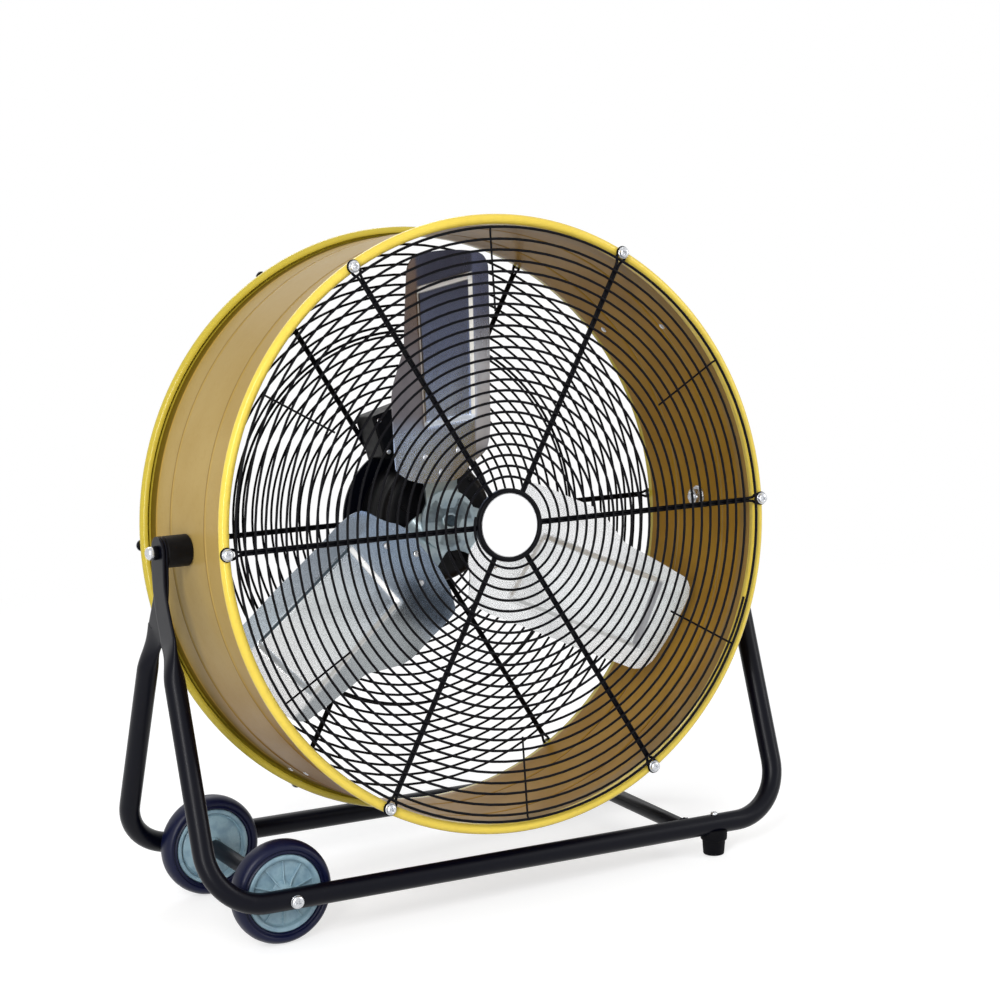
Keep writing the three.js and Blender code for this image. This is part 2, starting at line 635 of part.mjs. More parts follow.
function mountPlate() {
  const y0 = MOUNT_PLATE_Y - MOUNT_PLATE_THICKNESS / 2;
  const y1 = MOUNT_PLATE_Y + MOUNT_PLATE_THICKNESS / 2;
  const disc = pinY(PLATE_RADIUS, y0, y1, 32);
  const tabLength = BOX_DISTANCE + BOX_LENGTH / 2;
  const tab = new THREE.BoxGeometry(BOX_WIDTH, y1 - y0, tabLength);
  tab.translate(0, MOUNT_PLATE_Y, tabLength / 2).rotateY(Math.PI / 2 - BOX_ANGLE);
  const stem = polar(knobDistance(), BOX_ANGLE, 0);
  const bearingSeat = pinY(BEARING_RADIUS, y0 - 1, y1 + 1, 16);
  const stemHole = pinY(KNOB_STEM_DIAMETER / 2 + RUN_GAP, y0 - 1, y1 + 1, 10).translate(stem.x, 0, stem.z);
  return cut(union(disc, tab), bearingSeat, stemHole);
}

// ---- Control box -------------------------------------------------------------------------------
// The knob's stem passes midway between two turns of the rear spiral.
function knobDistance() {
  const turnsToAngle = (TAU - BOX_ANGLE) / TAU;
  const firstTurn = REAR_SPIRAL_START + turnsToAngle * GUARD_PITCH;
  return firstTurn + (Math.round((BOX_DISTANCE - firstTurn) / GUARD_PITCH - 0.5) + 0.5) * GUARD_PITCH;
}

function boxFrame(geometry) {
  return geometry.rotateY(Math.PI / 2 - BOX_ANGLE);
}

const BOX_REAR = MOUNT_PLATE_Y - MOUNT_PLATE_THICKNESS / 2 - SEAT_GAP;
const BOX_FRONT = BOX_REAR - BOX_DEPTH;
const BOX_MIDDLE = (BOX_REAR + BOX_FRONT) / 2;

function controlBox() {
  const outer = new THREE.BoxGeometry(BOX_WIDTH, BOX_DEPTH, BOX_LENGTH);
  const inner = new THREE.BoxGeometry(BOX_WIDTH - 2 * BOX_WALL, BOX_DEPTH, BOX_LENGTH - 2 * BOX_WALL);
  outer.translate(0, BOX_MIDDLE, BOX_DISTANCE);
  inner.translate(0, BOX_MIDDLE + BOX_WALL, BOX_DISTANCE);
  const hole = pinX(GLAND_BORE / 2 + SEAT_GAP + 1.5, 0, BOX_WIDTH, 12);
  hole.translate(0, BOX_MIDDLE, BOX_DISTANCE);
  return boxFrame(cut(outer, inner, hole));
}

function cordGland() {
  const outside = BOX_WIDTH / 2 + SEAT_GAP;
  const nose = GLAND_BORE / 2 + 1.5;
  const gland = turned([
    [GLAND_BORE / 2, outside - BOX_WALL - SEAT_GAP],
    [nose, outside - BOX_WALL - SEAT_GAP],
    [nose, outside],
    [GLAND_DIAMETER / 2, outside],
    [GLAND_DIAMETER / 2, outside + GLAND_LENGTH / 3],
    [nose + 0.8, outside + GLAND_LENGTH],
    [GLAND_BORE / 2, outside + GLAND_LENGTH],
  ], 14);
  return boxFrame(gland.rotateZ(-Math.PI / 2).translate(0, BOX_MIDDLE, BOX_DISTANCE));
}

function speedSwitch() {
  const body = new THREE.BoxGeometry(SWITCH_SIZE, SWITCH_DEPTH, SWITCH_SIZE);
  body.translate(0, BOX_REAR - SWITCH_DEPTH / 2 - SEAT_GAP, knobDistance());
  const bore = pinY(KNOB_STEM_DIAMETER / 2 + RUN_GAP, BOX_REAR - 8, BOX_REAR + 1, 10);
  return boxFrame(cut(body, bore.translate(0, 0, knobDistance())));
}

function speedKnob() {
  const guardFace = WIRE_Y + WIRE_RADIUS;
  const under = guardFace + 1.5;
  const stem = KNOB_STEM_DIAMETER / 2;
  const body = turned([
    [0, BOX_REAR - 7],
    [stem, BOX_REAR - 7],
    [stem, under],
    [KNOB_DIAMETER / 2, under],
    [KNOB_DIAMETER / 2, under + 5],
    [KNOB_DIAMETER / 2 - 2, under + 6.5],
    [0, under + 6.5],
  ], 20);
  const grip = new THREE.BoxGeometry(7, KNOB_HEIGHT - 4, KNOB_DIAMETER - 5);
  grip.translate(0, under + 3 + (KNOB_HEIGHT - 4) / 2, 0);
  const knob = union(body, grip);
  return boxFrame(knob.translate(0, 0, knobDistance()));
}

function capacitor() {
  const radius = CAPACITOR_DIAMETER / 2;
  const body = pinX(radius, -CAPACITOR_LENGTH / 2, CAPACITOR_LENGTH / 2, 12);
  const y = BOX_FRONT + BOX_WALL + radius + SEAT_GAP;
  const z = BOX_DISTANCE - BOX_LENGTH / 2 + BOX_WALL + radius + SEAT_GAP;
  return boxFrame(body.translate(0, y, z));
}

// ---- Stand -------------------------------------------------------------------------------------
// Height of a point of the upright decides how far behind or before the middle its centre lies.
function uprightDepth(height) {
  const table = [[0, BASE_HALF], [KINK_HEIGHT, BASE_HALF * (1 - KINK_HEIGHT / CONVERGE_HEIGHT)],
    [UPRIGHT_HEIGHT - 20, 6.5], [UPRIGHT_HEIGHT, 0], [PIVOT_HEIGHT * 2, 0]];
  return between(height, table);
}

function frameHalfPath(side, sign) {
  // side is -1 for the front frame; sign is the end, -1 on the left and 1 on the right.
  const up = new THREE.Vector3(0, -side * Math.sin(UPRIGHT_LEAN), Math.cos(UPRIGHT_LEAN));
  const centre = new THREE.Vector3(sign * (TUBE_X - BEND_RADIUS), side * BASE_HALF, 0).addScaledVector(up,
    BEND_RADIUS);
  const points = [];
  for (let step = 0; step <= 5; step += 1) {
    const turn = step / 5 * Math.PI / 2;
    const point = centre.clone().addScaledVector(up, -BEND_RADIUS * Math.cos(turn));
    point.x += sign * BEND_RADIUS * Math.sin(turn);
    points.push(point);
  }
  return points;
}

function uprightPoint(side, sign, height) {
  return new THREE.Vector3(sign * TUBE_X, side * uprightDepth(height), height);
}

function pressFlat(geometry, side, plateX) {
  const place = geometry.attributes.position;
  const roundEnd = PLATE_WIDTH / 2;
  for (let index = 0; index < place.count; index += 1) {
    const height = place.getZ(index);
    const sign = Math.sign(place.getX(index));
    const pressed = height > PRESS_START ? THREE.MathUtils.smoothstep(height, PRESS_START, PRESS_END) : 0;
    if (pressed > 0) {
      const centreX = THREE.MathUtils.lerp(TUBE_X, plateX, pressed);
      const limit = THREE.MathUtils.lerp(TUBE_RADIUS, PLATE_THICKNESS / 2, pressed);
      const offset = (Math.abs(place.getX(index)) - TUBE_X) * THREE.MathUtils.lerp(1, 0.6, pressed);
      const centreY = side * uprightDepth(height);
      const over = THREE.MathUtils.clamp((height - PIVOT_HEIGHT) / roundEnd, 0, 1);
      const taper = Math.sqrt(1 - 0.9 * over * over);
      const spread = THREE.MathUtils.lerp(1, PLATE_WIDTH / TUBE_DIAMETER * taper, pressed);
      place.setX(index, sign * (centreX + THREE.MathUtils.clamp(offset, -limit, limit)));
      place.setY(index, centreY + (place.getY(index) - centreY) * spread);
    }
  }
  return geometry;
}

function standFrame(side, plateX) {
  const middle = (PRESS_START + PRESS_END) / 2;
  const heights = [PRESS_START, middle - 7, middle + 7, PRESS_END, PRESS_END + 14,
    UPRIGHT_HEIGHT - 20, UPRIGHT_HEIGHT,
    PIVOT_HEIGHT, PIVOT_HEIGHT + 9, PIVOT_HEIGHT + 14, PIVOT_HEIGHT + PLATE_WIDTH / 2];
  const left = [...heights].reverse().map((height) => uprightPoint(side, -1, height));
  const right = heights.map((height) => uprightPoint(side, 1, height));
  const path = [...left, ...frameHalfPath(side, -1).reverse(), ...frameHalfPath(side, 1), ...right];
  const outer = pressFlat(rod(path, TUBE_RADIUS / Math.cos(Math.PI / 12), 12), side, plateX);
  const borePath = [uprightPoint(side, -1, PRESS_START - 6), ...frameHalfPath(side, -1).reverse(),
    ...frameHalfPath(side, 1), uprightPoint(side, 1, PRESS_START - 6)];
  const bore = rod(borePath, TUBE_RADIUS - TUBE_WALL, 6);
  const boltHole = BOLT_DIAMETER / 2 + RUN_GAP;
  const tools = [
    bore,
    pinX(boltHole, -TUBE_X - 20, -TUBE_X + 20, 12).translate(0, 0, PIVOT_HEIGHT),
    pinX(boltHole, TUBE_X - 20, TUBE_X + 20, 12).translate(0, 0, PIVOT_HEIGHT),
    pinY(AXLE_DIAMETER / 2 + RUN_GAP, -20, 20, 12).translate(WHEEL_X, side * BASE_HALF, 0),
    pinZ(FOOT_SCREW_DIAMETER / 2 + RUN_GAP, -20, 20, 10).translate(FOOT_X, side * BASE_HALF, 0),
  ];
  return cut(outer, ...tools);
}

function crossTube() {
  const radius = CROSS_TUBE_DIAMETER / 2;
  const tube = ringY(radius, radius - TUBE_WALL, -BASE_HALF, BASE_HALF, 12).translate(CROSS_TUBE_X, 0, 0);
  const saddle = TUBE_RADIUS / Math.cos(Math.PI / 12) + SEAT_GAP;
  const reach = [CROSS_TUBE_X - 30, CROSS_TUBE_X + 30];
  return cut(tube, pinX(saddle, ...reach, 16).translate(0, -BASE_HALF, 0),
    pinX(saddle, ...reach, 16).translate(0, BASE_HALF, 0),
    new THREE.BoxGeometry(60, 60, 60).translate(CROSS_TUBE_X, -BASE_HALF - 30, 0),
    new THREE.BoxGeometry(60, 60, 60).translate(CROSS_TUBE_X, BASE_HALF + 30, 0));
}

function foot(side) {
  const saddle = TUBE_RADIUS / Math.cos(Math.PI / 12) + SEAT_GAP;
  const top = -TUBE_RADIUS * 0.45;
  const cup = turned([
    [0, -FOOT_HEIGHT],
    [FOOT_BASE_DIAMETER / 2 - 1.5, -FOOT_HEIGHT],
    [FOOT_BASE_DIAMETER / 2, -FOOT_HEIGHT + 1.5],
    [FOOT_TOP_DIAMETER / 2 - 2, -TUBE_RADIUS - 6],
    [FOOT_TOP_DIAMETER / 2, -TUBE_RADIUS - 5],
    [FOOT_TOP_DIAMETER / 2, top],
    [0, top],
  ], 16).rotateX(Math.PI / 2);
  const screwHole = pinZ(FOOT_SCREW_DIAMETER / 2 + SEAT_GAP, -FOOT_HEIGHT + 6, 0, 10);
  const shaped = cut(cup, pinX(saddle, -30, 30, 16), screwHole);
  return shaped.translate(FOOT_X, side * BASE_HALF, 0);
}

function footScrew(side) {
  const seat = TUBE_RADIUS / Math.cos(Math.PI / 12) + SEAT_GAP;
  const screw = turned([
    [0, -FOOT_HEIGHT + 7],
    [FOOT_SCREW_DIAMETER / 2, -FOOT_HEIGHT + 7],
    [FOOT_SCREW_DIAMETER / 2, seat],
    [FOOT_SCREW_HEAD / 2, seat],
    [FOOT_SCREW_HEAD / 2 - 1.6, seat + 2.6],
    [0, seat + 2.6],
  ], 10).rotateX(Math.PI / 2);
  return screw.translate(FOOT_X, side * BASE_HALF, 0);
}

// ---- Axle and wheels -----------------------------------------------------------------------------
const AXLE_SEAT = BASE_HALF + TUBE_RADIUS / Math.cos(Math.PI / 12) + SEAT_GAP;

function axleBolt() {
  const bolt = turned([
    [0, -AXLE_SEAT - 4],
    [AXLE_HEAD_DIAMETER / 2 - 2.5, -AXLE_SEAT - 4],
    [AXLE_HEAD_DIAMETER / 2, -AXLE_SEAT - 1.6],
    [AXLE_HEAD_DIAMETER / 2, -AXLE_SEAT],
    [AXLE_DIAMETER / 2, -AXLE_SEAT],
    [AXLE_DIAMETER / 2, AXLE_SEAT + AXLE_NUT_HEIGHT + 3],
    [0, AXLE_SEAT + AXLE_NUT_HEIGHT + 3],
  ], 14);
  return bolt.translate(WHEEL_X, 0, 0);
}

function axleNut() {
  return nutY(AXLE_NUT_FLATS, AXLE_DIAMETER, AXLE_SEAT, AXLE_SEAT + AXLE_NUT_HEIGHT).translate(WHEEL_X, 0, 0);
}

function axleSleeve() {
  const half = WHEEL_Y - WHEEL_WIDTH / 2 - 1 - SEAT_GAP;
  return ringY(SLEEVE_DIAMETER / 2, AXLE_DIAMETER / 2 + RUN_GAP, -half, half, 14).translate(WHEEL_X, 0, 0);
}

function tyre() {
  const half = WHEEL_WIDTH / 2;
  const bore = HUB_RADIUS + SEAT_GAP;
  return turned([
    [bore, -half + 3],
    [bore + 4, -half],
    [WHEEL_RADIUS - 5, -half],
    [WHEEL_RADIUS, -half + 7],
    [WHEEL_RADIUS, half - 7],
    [WHEEL_RADIUS - 5, half],
    [bore + 4, half],
    [bore, half - 3],
  ], WHEEL_SEGMENTS);
}

function wheelHub() {
  const half = WHEEL_WIDTH / 2;
  const boreRadius = AXLE_DIAMETER / 2 + RUN_GAP;
  const dish = turned([
    [boreRadius, -half - 1],
    [HUB_BOSS_RADIUS - 3, -half - 1],
    [HUB_BOSS_RADIUS, -3],
    [HUB_RADIUS - 7, -3],
    [HUB_RADIUS - 4, -half + 2],
    [HUB_RADIUS, -half + 2],
    [HUB_RADIUS, half - 2],
    [HUB_RADIUS - 4, half - 2],
    [HUB_RADIUS - 7, 3],
    [HUB_BOSS_RADIUS, 3],
    [HUB_BOSS_RADIUS - 3, half + 1],
    [boreRadius, half + 1],
  ], WHEEL_SEGMENTS);
  const ribs = [];
  for (let rib = 0; rib < HUB_RIBS; rib += 1) {
    const length = HUB_RADIUS - HUB_BOSS_RADIUS - 3;
    const bar = new THREE.BoxGeometry(length, 12, 1.8).translate(HUB_BOSS_RADIUS - 1 + length / 2, 0, 0);
    ribs.push(bar.rotateY(rib / HUB_RIBS * TAU));
  }
  return union(dish, ...ribs);
}

// ---- Pivots --------------------------------------------------------------------------------------
function pivotPieces(sign) {
  const side = sign < 0 ? 'left' : 'right';
  const turn = (geometry) => (sign < 0 ? geometry.rotateY(Math.PI) : geometry);
  const clear = BOLT_DIAMETER / 2 + SEAT_GAP;
  const tubeAlongX = (outer, inner, x0, x1, segments) =>
    ringY(outer, inner, x0, x1, segments).rotateZ(-Math.PI / 2);
  const bush = tubeAlongX(BUSH_DIAMETER / 2, clear, DRUM_RADIUS + BUSH_END_GAP, INNER_FACE_X - SEAT_GAP, 16);
  const collarStart = OUTER_FACE_X + SEAT_GAP;
  const collar = tubeAlongX(COLLAR_DIAMETER / 2, clear, collarStart, collarStart + COLLAR_LENGTH, 16);
  const headStart = collarStart + COLLAR_LENGTH + SEAT_GAP;
  const wallInside = Math.sqrt((DRUM_RADIUS - DRUM_WALL) ** 2 - (PIVOT_WASHER_DIAMETER / 2) ** 2)
    * Math.cos(Math.PI / DRUM_SEGMENTS) - SEAT_GAP;
  const nutInner = wallInside - PIVOT_WASHER_THICKNESS - PIVOT_NUT_HEIGHT;
  const bolt = turned([
    [0, nutInner - 3],
    [BOLT_DIAMETER / 2, nutInner - 3],
    [BOLT_DIAMETER / 2, headStart],
    [DOME_DIAMETER / 2, headStart],
    [DOME_DIAMETER / 2, headStart + DOME_HEIGHT * 0.45],
    [DOME_DIAMETER / 2 * 0.7, headStart + DOME_HEIGHT * 0.85],
    [0, headStart + DOME_HEIGHT],
  ], 12).rotateZ(-Math.PI / 2);
  const hex = nutY(PIVOT_NUT_FLATS, BOLT_DIAMETER, nutInner, wallInside - PIVOT_WASHER_THICKNESS)
    .rotateZ(-Math.PI / 2);
  const washer = tubeAlongX(PIVOT_WASHER_DIAMETER / 2, clear, wallInside - PIVOT_WASHER_THICKNESS - 0.01,
    wallInside, 12);
  return [
    named(`pivot_bush_${side}`, turn(bush), blackPlastic),
    named(`pivot_collar_${side}`, turn(collar), blackPlastic),
    named(`pivot_bolt_${side}`, turn(bolt), zinc),
    named(`pivot_nut_${side}`, turn(union(hex, washer)), zinc),
  ];
}

// ---- Assembly ------------------------------------------------------------------------------------
function drumAssembly() {
  const drum = new THREE.Group();
  drum.add(named('drum_shell', drumShell(), yellowPaint));
  drum.add(...pivotPieces(-1), ...pivotPieces(1));
  drum.add(named('front_guard_spiral', frontSpiral(), blackWire));
  drum.add(named('front_guard_spokes', frontGuardSpokes(), blackWire));
  drum.add(named('front_guard_rim_wire', frontGuardRimWire(), blackWire));
  drum.add(named('front_badge', frontBadge(), whitePlastic));
  drum.add(named('rear_guard_spiral', rearSpiral(), blackWire));
  drum.add(named('rear_guard_frame', rearGuardFrame(), blackWire));
  for (let spoke = 0; spoke < GUARD_SPOKES; spoke += 1) {
    drum.add(named(`front_rim_screw_${spoke + 1}`, rimScrew(spoke, -1), zinc));
    drum.add(named(`rear_rim_screw_${spoke + 1}`, rimScrew(spoke, 1), zinc));
  }
  drum.add(named('motor_mount_plate', mountPlate(), blackPaint));
  const body = ringY(MOTOR_RADIUS, MOTOR_RADIUS - MOTOR_WALL, BODY_FRONT, BODY_REAR, MOTOR_SEGMENTS);
  drum.add(named('motor_body', body, castMetal));
  drum.add(named('motor_front_cover', endBell(MOTOR_FRONT, 1), castMetal));
  drum.add(named('motor_rear_cover', endBell(MOTOR_REAR, -1), castMetal));
  const statorRadius = MOTOR_RADIUS - MOTOR_WALL - SEAT_GAP;
  const coreFront = CORE_MIDDLE - CORE_LENGTH / 2;
  const coreRear = CORE_MIDDLE + CORE_LENGTH / 2;
  const stator = ringY(statorRadius, ROTOR_CORE_RADIUS + 1, coreFront, coreRear, MOTOR_SEGMENTS);
  drum.add(named('motor_stator', stator, copper));
  drum.add(named('bearing_front', bearing(MOTOR_FRONT, 1), steel));
  drum.add(named('bearing_rear', bearing(MOTOR_REAR, -1), steel));
  drum.add(named('control_box', controlBox(), blackPlastic));
  drum.add(named('speed_switch', speedSwitch(), blackPlastic));
  drum.add(named('run_capacitor', capacitor(), blackPlastic));
  drum.add(named('cord_gland', cordGland(), rubber));
  drum.add(named('speed_knob', speedKnob(), blackPlastic));
  // The turning parts.
  drum.add(named('motor_shaft', pinY(SHAFT_DIAMETER / 2, SHAFT_FRONT, MOTOR_REAR - 1, 14), steel));
  const coreBore = SHAFT_DIAMETER / 2 + SEAT_GAP;
  const rotor = ringY(ROTOR_CORE_RADIUS, coreBore, coreFront, coreRear, MOTOR_SEGMENTS);
  drum.add(named('motor_rotor', rotor, steel));
  drum.add(named('fan_spider', spider(), aluminium));
  for (let blade = 0; blade < BLADES; blade += 1) {
    const geometry = flipWinding(placeBlade(bladeGeometry(), blade));
    drum.add(named(`fan_blade_${blade + 1}`, geometry, aluminium));
  }
  drum.rotation.x = DRUM_TILT;
  drum.position.z = PIVOT_HEIGHT;
  return drum;
}

function standAssembly() {
  const stand = new THREE.Group();
  stand.add(named('stand_frame_front', standFrame(-1, OUTER_PLATE_X), blackPaint));
  stand.add(named('stand_frame_rear', standFrame(1, INNER_PLATE_X), blackPaint));
  stand.add(named('stand_cross_tube', crossTube(), blackPaint));
  stand.add(named('foot_front', foot(-1), rubber));
  stand.add(named('foot_rear', foot(1), rubber));
  stand.add(named('foot_screw_front', footScrew(-1), zinc));
  stand.add(named('foot_screw_rear', footScrew(1), zinc));
  stand.add(named('axle_bolt', axleBolt(), zinc));
  stand.add(named('axle_nut', axleNut(), zinc));
  stand.add(named('axle_sleeve', axleSleeve(), blackPaint));
  for (const [name, y] of [['front', -WHEEL_Y], ['rear', WHEEL_Y]]) {
    stand.add(named(`wheel_tyre_${name}`, tyre().translate(WHEEL_X, y, 0), tyreRubber));
    stand.add(named(`wheel_hub_${name}`, wheelHub().translate(WHEEL_X, y, 0), hubPlastic));
  }
  return stand;
}

// The lean at which the wheels and the feet's outer edges stand on one floor.
function floorLean() {
  const span = FOOT_X + FOOT_BASE_DIAMETER / 2 - 1.5 - WHEEL_X;
  return Math.asin(WHEEL_RADIUS / Math.hypot(span, FOOT_HEIGHT)) - Math.atan2(FOOT_HEIGHT, span);
}

const fan = new THREE.Group();
fan.add(standAssembly(), drumAssembly());
fan.rotation.y = floorLean();
fan.position.z = WHEEL_RADIUS + WHEEL_X * Math.sin(floorLean());
fan.updateMatrixWorld(true);
const extent = new THREE.Box3().setFromObject(fan, true);
fan.position.x = -(extent.min.x + extent.max.x) / 2;
fan.position.y = -(extent.min.y + extent.max.y) / 2;

export default fan;
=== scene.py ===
import json
import math
import random

import bpy
from mathutils import Matrix, Vector


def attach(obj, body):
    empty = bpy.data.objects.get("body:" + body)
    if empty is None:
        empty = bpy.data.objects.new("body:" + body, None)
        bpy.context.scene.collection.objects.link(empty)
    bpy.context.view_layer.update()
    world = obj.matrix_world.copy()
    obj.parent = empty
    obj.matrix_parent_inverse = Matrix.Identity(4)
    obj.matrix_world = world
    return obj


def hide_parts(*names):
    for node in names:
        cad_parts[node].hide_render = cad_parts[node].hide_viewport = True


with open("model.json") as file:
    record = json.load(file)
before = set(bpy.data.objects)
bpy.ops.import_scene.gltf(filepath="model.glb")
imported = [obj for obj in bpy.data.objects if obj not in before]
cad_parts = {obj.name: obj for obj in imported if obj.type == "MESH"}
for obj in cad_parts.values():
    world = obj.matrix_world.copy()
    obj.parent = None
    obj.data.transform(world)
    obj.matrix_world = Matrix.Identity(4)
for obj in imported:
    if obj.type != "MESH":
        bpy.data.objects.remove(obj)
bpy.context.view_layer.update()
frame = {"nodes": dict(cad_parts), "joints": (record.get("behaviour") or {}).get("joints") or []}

# ---- Stand and drum frames ---------------------------------------------------------------------
# The stand leans towards its feet and the drum tilts in it, so each has axes of its own.
# Sizes below are millimetres in one of these two frames.
joints = {joint["name"]: joint for joint in frame["joints"]}
PIVOT_HEIGHT = 346.0  # above the bottom tubes' centres


def frame_at(origin, right, back):
    up = right.cross(back)
    turn = Matrix((right, back, up)).transposed().to_4x4()
    return Matrix.Translation(origin) @ turn @ Matrix.Scale(0.001, 4)


pivot = Vector(joints["drum_tilt"]["pos_m"])
right = Vector(joints["drum_tilt"]["axis"]).normalized()
DRUM = frame_at(pivot, right, Vector(joints["fan_spin"]["axis"]).normalized())
level = Vector((0, 1, 0))
STAND = frame_at(pivot - right.cross(level) * PIVOT_HEIGHT / 1000, right, level)

# ---- Camera ------------------------------------------------------------------------------------
# Set where the photograph was taken from: front left, a little above the hub, with a long lens.
AZIMUTH, ELEVATION, ROLL = map(math.radians, (-29.34, 9.98, -0.24))
EYE = Vector((-1333.6, -2466.2, 862.4))
FOCAL_LENGTH_IN_PIXELS = 2643.6
PICTURE_WIDTH_IN_PIXELS = 1000
SENSOR = 36.0

away = Vector((math.sin(AZIMUTH) * math.cos(ELEVATION), -math.cos(AZIMUTH) * math.cos(ELEVATION),
               math.sin(ELEVATION)))
across = (-away).cross(Vector((0, 0, 1))).normalized()
above = across.cross(-away)
rolled = across * math.cos(ROLL) + above * math.sin(ROLL)
camera_data = bpy.data.cameras.new("camera")
camera_data.sensor_width = SENSOR
camera_data.lens = FOCAL_LENGTH_IN_PIXELS / PICTURE_WIDTH_IN_PIXELS * SENSOR
camera_data.clip_end = 100
camera = bpy.data.objects.new("camera", camera_data)
bpy.context.scene.collection.objects.link(camera)
turn = STAND.to_3x3() * 1000 @ Matrix((rolled, away.cross(rolled), away)).transposed()
camera.matrix_world = Matrix.Translation(STAND @ EYE) @ turn.to_4x4()
bpy.context.scene.camera = camera
bpy.context.scene.view_settings.view_transform = "Standard"


# ---- Shader sums and finishes ------------------------------------------------------------------
# Finishes are mixed from sums on sockets; every other node comes from Finish.node.
class Wire:
    """A shader socket that sums can be written on."""

    def __init__(self, socket):
        self.socket = socket

    def _sum(self, operation, *terms):
        tree = self.socket.id_data
        made = tree.nodes.new("ShaderNodeMath")
        made.operation = operation
        for place, term in zip(made.inputs, terms):
            if isinstance(term, Wire):
                tree.links.new(term.socket, place)
            else:
                place.default_value = term
        return Wire(made.outputs[0])

    def __add__(self, other):
        return self._sum("ADD", self, other)

    def __sub__(self, other):
        return self._sum("SUBTRACT", self, other)

    def __rsub__(self, other):
        return self._sum("SUBTRACT", other, self)

    def __mul__(self, other):
        return self._sum("MULTIPLY", self, other)

    def __pow__(self, other):
        return self._sum("POWER", self, other)

    __radd__ = __add__


class Finish:
    """One material in the making. Lengths in its patterns are millimetres in the piece's own frame."""

    def __init__(self, name):
        self.material = bpy.data.materials.new(name)
        self.material.use_nodes = True
        self.tree = self.material.node_tree
        self.tree.nodes.clear()
        self.place = self.node("Attribute", {"attribute_name": "own_mm"}, {}, "Vector")

    def node(self, kind, settings, inputs, output=0):
        made = self.tree.nodes.new("ShaderNode" + kind)
        for name, value in settings.items():
            setattr(made, name, value)
        for name, value in inputs.items():
            if isinstance(value, Wire):
                self.tree.links.new(value.socket, made.inputs[name])
            else:
                made.inputs[name].default_value = value
        return Wire(made.outputs[output]) if made.outputs else None

    def grain(self, size, detail=2.0, stretch=(1, 1, 1), rough=0.5):
        """Noise whose blotches are size millimetres long, drawn out by stretch."""
        scale = tuple(1 / (size * pull) for pull in stretch)
        spread = self.node("VectorMath", {"operation": "MULTIPLY"}, {0: self.place, 1: scale})
        inputs = {"Vector": spread, "Scale": 1.0, "Detail": detail, "Roughness": rough}
        return self.node("TexNoise", {}, inputs)

    def axes(self):
        return [self.node("SeparateXYZ", {}, {"Vector": self.place}, axis) for axis in range(3)]

    def between(self, value, low, high):
        """value brought from low..high to 0..1."""
        return self.node("MapRange", {"interpolation_type": "SMOOTHSTEP"},
                         {"Value": value, "From Min": low, "From Max": high})

    def blend(self, share, first, second):
        """A colour between first and second."""
        inputs = {"Factor": share, 6: first, 7: second}
        return self.node("Mix", {"data_type": "RGBA"}, inputs, 2)

    def bump(self, height, depth, strength=1.0):
        """A normal from a height of 0..1 that stands for depth millimetres."""
        return self.node("Bump", {}, {"Height": height, "Strength": strength, "Distance": depth / 1000})

    def surface(self, **inputs):
        words = {name.replace("_", " "): value for name, value in inputs.items()}
        shader = self.node("BsdfPrincipled", {}, words)
        self.node("OutputMaterial", {}, {"Surface": shader})
        return self.material


def tone(red, green, blue):
    """A colour as seen on the screen, 0 to 255, in the linear values that shaders take."""
    parts = [part / 255 for part in (red, green, blue)]
    return (*[part / 12.92 if part < 0.04045 else ((part + 0.055) / 1.055) ** 2.4 for part in parts], 1)


def shaded(colour, share, lift=0.0):
    """A colour at a share of its strength, lifted by a little grey."""
    return tuple(part * share + lift for part in colour[:3]) + (1,)


# ---- Studio: floor, backdrop light and lamps ---------------------------------------------------
# A white sweep under soft light: one large lamp high on the left, a weaker one on the right, and
# a low upright strip on the left that draws a streak along every black tube.
WHITE = (1, 1, 1, 1)
FADE_START, FADE_END = 0.55, 1.6  # metres from the object's middle, where the floor turns plain white


def lamp(name, place, target, size, power):
    data = bpy.data.lights.new(name, "AREA")
    data.shape = "RECTANGLE"
    data.size, data.size_y = size
    data.energy = power
    made = bpy.data.objects.new(name, data)
    bpy.context.scene.collection.objects.link(made)
    made.location = place
    made.rotation_euler = (Vector(target) - Vector(place)).to_track_quat("-Z", "Y").to_euler()


lamp("key_lamp", (-2.2, -2.4, 2.6), (0, 0, 0.35), (1.1, 1.1), 48)
lamp("strip_lamp", (-1.75, -1.75, 0.75), (0, 0, 0.3), (0.24, 1.4), 24)
lamp("fill_lamp", (2.6, -1.8, 1.4), (0, 0, 0.35), (0.7, 1.6), 26)
lamp("back_lamp", (0.4, 2.4, 2.2), (0, 0, 0.4), (2.0, 1.0), 24)

world = bpy.data.worlds.new("studio")
bpy.context.scene.world = world
world.use_nodes = True
tree = world.node_tree
tree.nodes.clear()


def world_node(kind, **inputs):
    made = tree.nodes.new("ShaderNode" + kind)
    for name, value in inputs.items():
        if isinstance(value, bpy.types.NodeSocket):
            tree.links.new(value, made.inputs[name])
        else:
            made.inputs[name].default_value = value
    return made


ray = world_node("LightPath")
seen = Wire(ray.outputs["Is Camera Ray"]) + Wire(ray.outputs["Is Glossy Ray"])
seen = seen + Wire(ray.outputs["Is Transmission Ray"])
soft = world_node("Background", Color=(0.97, 0.98, 1, 1), Strength=0.64)
plain = world_node("Background", Color=WHITE, Strength=1.0)
mixed = world_node("MixShader")
tree.links.new(seen.socket, mixed.inputs[0])
tree.links.new(soft.outputs[0], mixed.inputs[1])
tree.links.new(plain.outputs[0], mixed.inputs[2])
world_node("OutputWorld", Surface=mixed.outputs[0])

